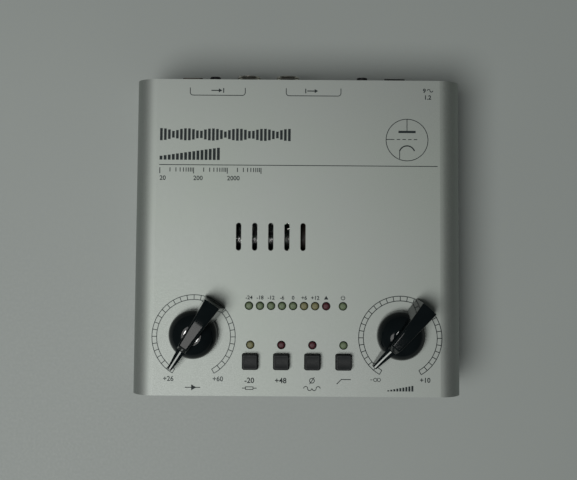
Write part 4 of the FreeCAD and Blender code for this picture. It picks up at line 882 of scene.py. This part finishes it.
for side, start in ((-1, 0), (1, 180)):
    x = -54.2 * mm + side * supply_wave_radius
    ink_arc(rear_print, x, supply_z, supply_wave_radius, supply_wave_line, start, 180)
lay_ink("rear_print", rear_print, on_rear, pale_ink)

rocker_low, rocker_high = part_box("power_switch_rocker")
rocker_pivot = Vector(((rocker_low.x + rocker_high.x) / 2, 60.35 * mm, 23.0 * mm))
rocker_rest_lean = math.radians(-12.0)
rocker_face_slope = math.atan2(1.4, 6.3)
mark_out = 2.87 * mm
mark_up = 3.0 * mm
for name, side in (("rocker_bar_mark", 1), ("rocker_ring_mark", -1)):
    mark = bmesh.new()
    if side > 0:
        ink_bar(mark, 0, 0, 0.5 * mm, 2.2 * mm)
    else:
        ink_arc(mark, 0, 0, 1.0 * mm, 0.45 * mm)
    on_half = (
        Matrix.Translation(rocker_pivot)
        @ Matrix.Rotation(rocker_rest_lean, 4, "X")
        @ Matrix.Translation((0, mark_out, mark_up * side))
        @ Matrix.Rotation(-rocker_face_slope * side, 4, "X")
        @ Matrix.Rotation(math.pi, 4, "Z")
        @ Matrix.Rotation(math.pi / 2, 4, "X")
    )
    lay_ink(name, mark, on_half, pale_ink, "power_rocker")
# ---------------------------------------------------------------- keys
# Square caps moulded in black plastic, spark-eroded on top and a little polished on their edges. Each
# pushes on to its switch's plunger.
def key_plastic():
    material, shader, place = start_finish("key_plastic")
    grain = noise(material, place, 2600.0, 1.0)
    wear = noise(material, place, 240.0, 3.0)
    rubbed = spread(material, wear, 0, 1)
    shade = blend_colours(material, rubbed, (0.008, 0.010, 0.011), (0.015, 0.017, 0.018))
    colour_by(material, shader, shade)
    roughness_by(material, shader, spread(material, grain, 0.46, 0.60))
    shader.inputs["Specular IOR Level"].default_value = 0.25
    relief(material, shader, grain, 0.02 * mm)
    return material


dress(key_plastic(), "pad_key", "phantom_key", "phase_key", "limiter_key")


# ---------------------------------------------------------------- knobs
# Pointer knobs pressed from black phenolic resin and tumbled to a soft shine, with a white line let
# into the beak. They push on to the potentiometers' shafts.
def polished_phenolic():
    material, shader, place = start_finish("polished_phenolic")
    haze = noise(material, place, 180.0, 4.0)
    pits = noise(material, place, 3000.0, 1.0)
    colour_by(material, shader, blend_colours(material, haze, (0.003, 0.005, 0.006), (0.007, 0.010, 0.011)))
    roughness_by(material, shader, spread(material, haze, 0.08, 0.15))
    relief(material, shader, pits, 0.01 * mm, 0.5)
    shader.inputs["Specular IOR Level"].default_value = 0.06
    shader.inputs["Coat Weight"].default_value = 0.8
    shader.inputs["Coat Roughness"].default_value = 0.06
    shader.inputs["Coat IOR"].default_value = 1.2
    return material


def pointer_paint():
    material, shader, place = start_finish("pointer_paint")
    wear = noise(material, place, 900.0, 4.0)
    colour_by(material, shader, blend_colours(material, wear, (0.52, 0.55, 0.53), (0.66, 0.69, 0.67)))
    roughness_by(material, shader, spread(material, wear, 0.40, 0.55))
    return material


dress(polished_phenolic(), "gain_knob", "output_knob")
dress(pointer_paint(), "gain_knob_pointer", "output_knob_pointer")
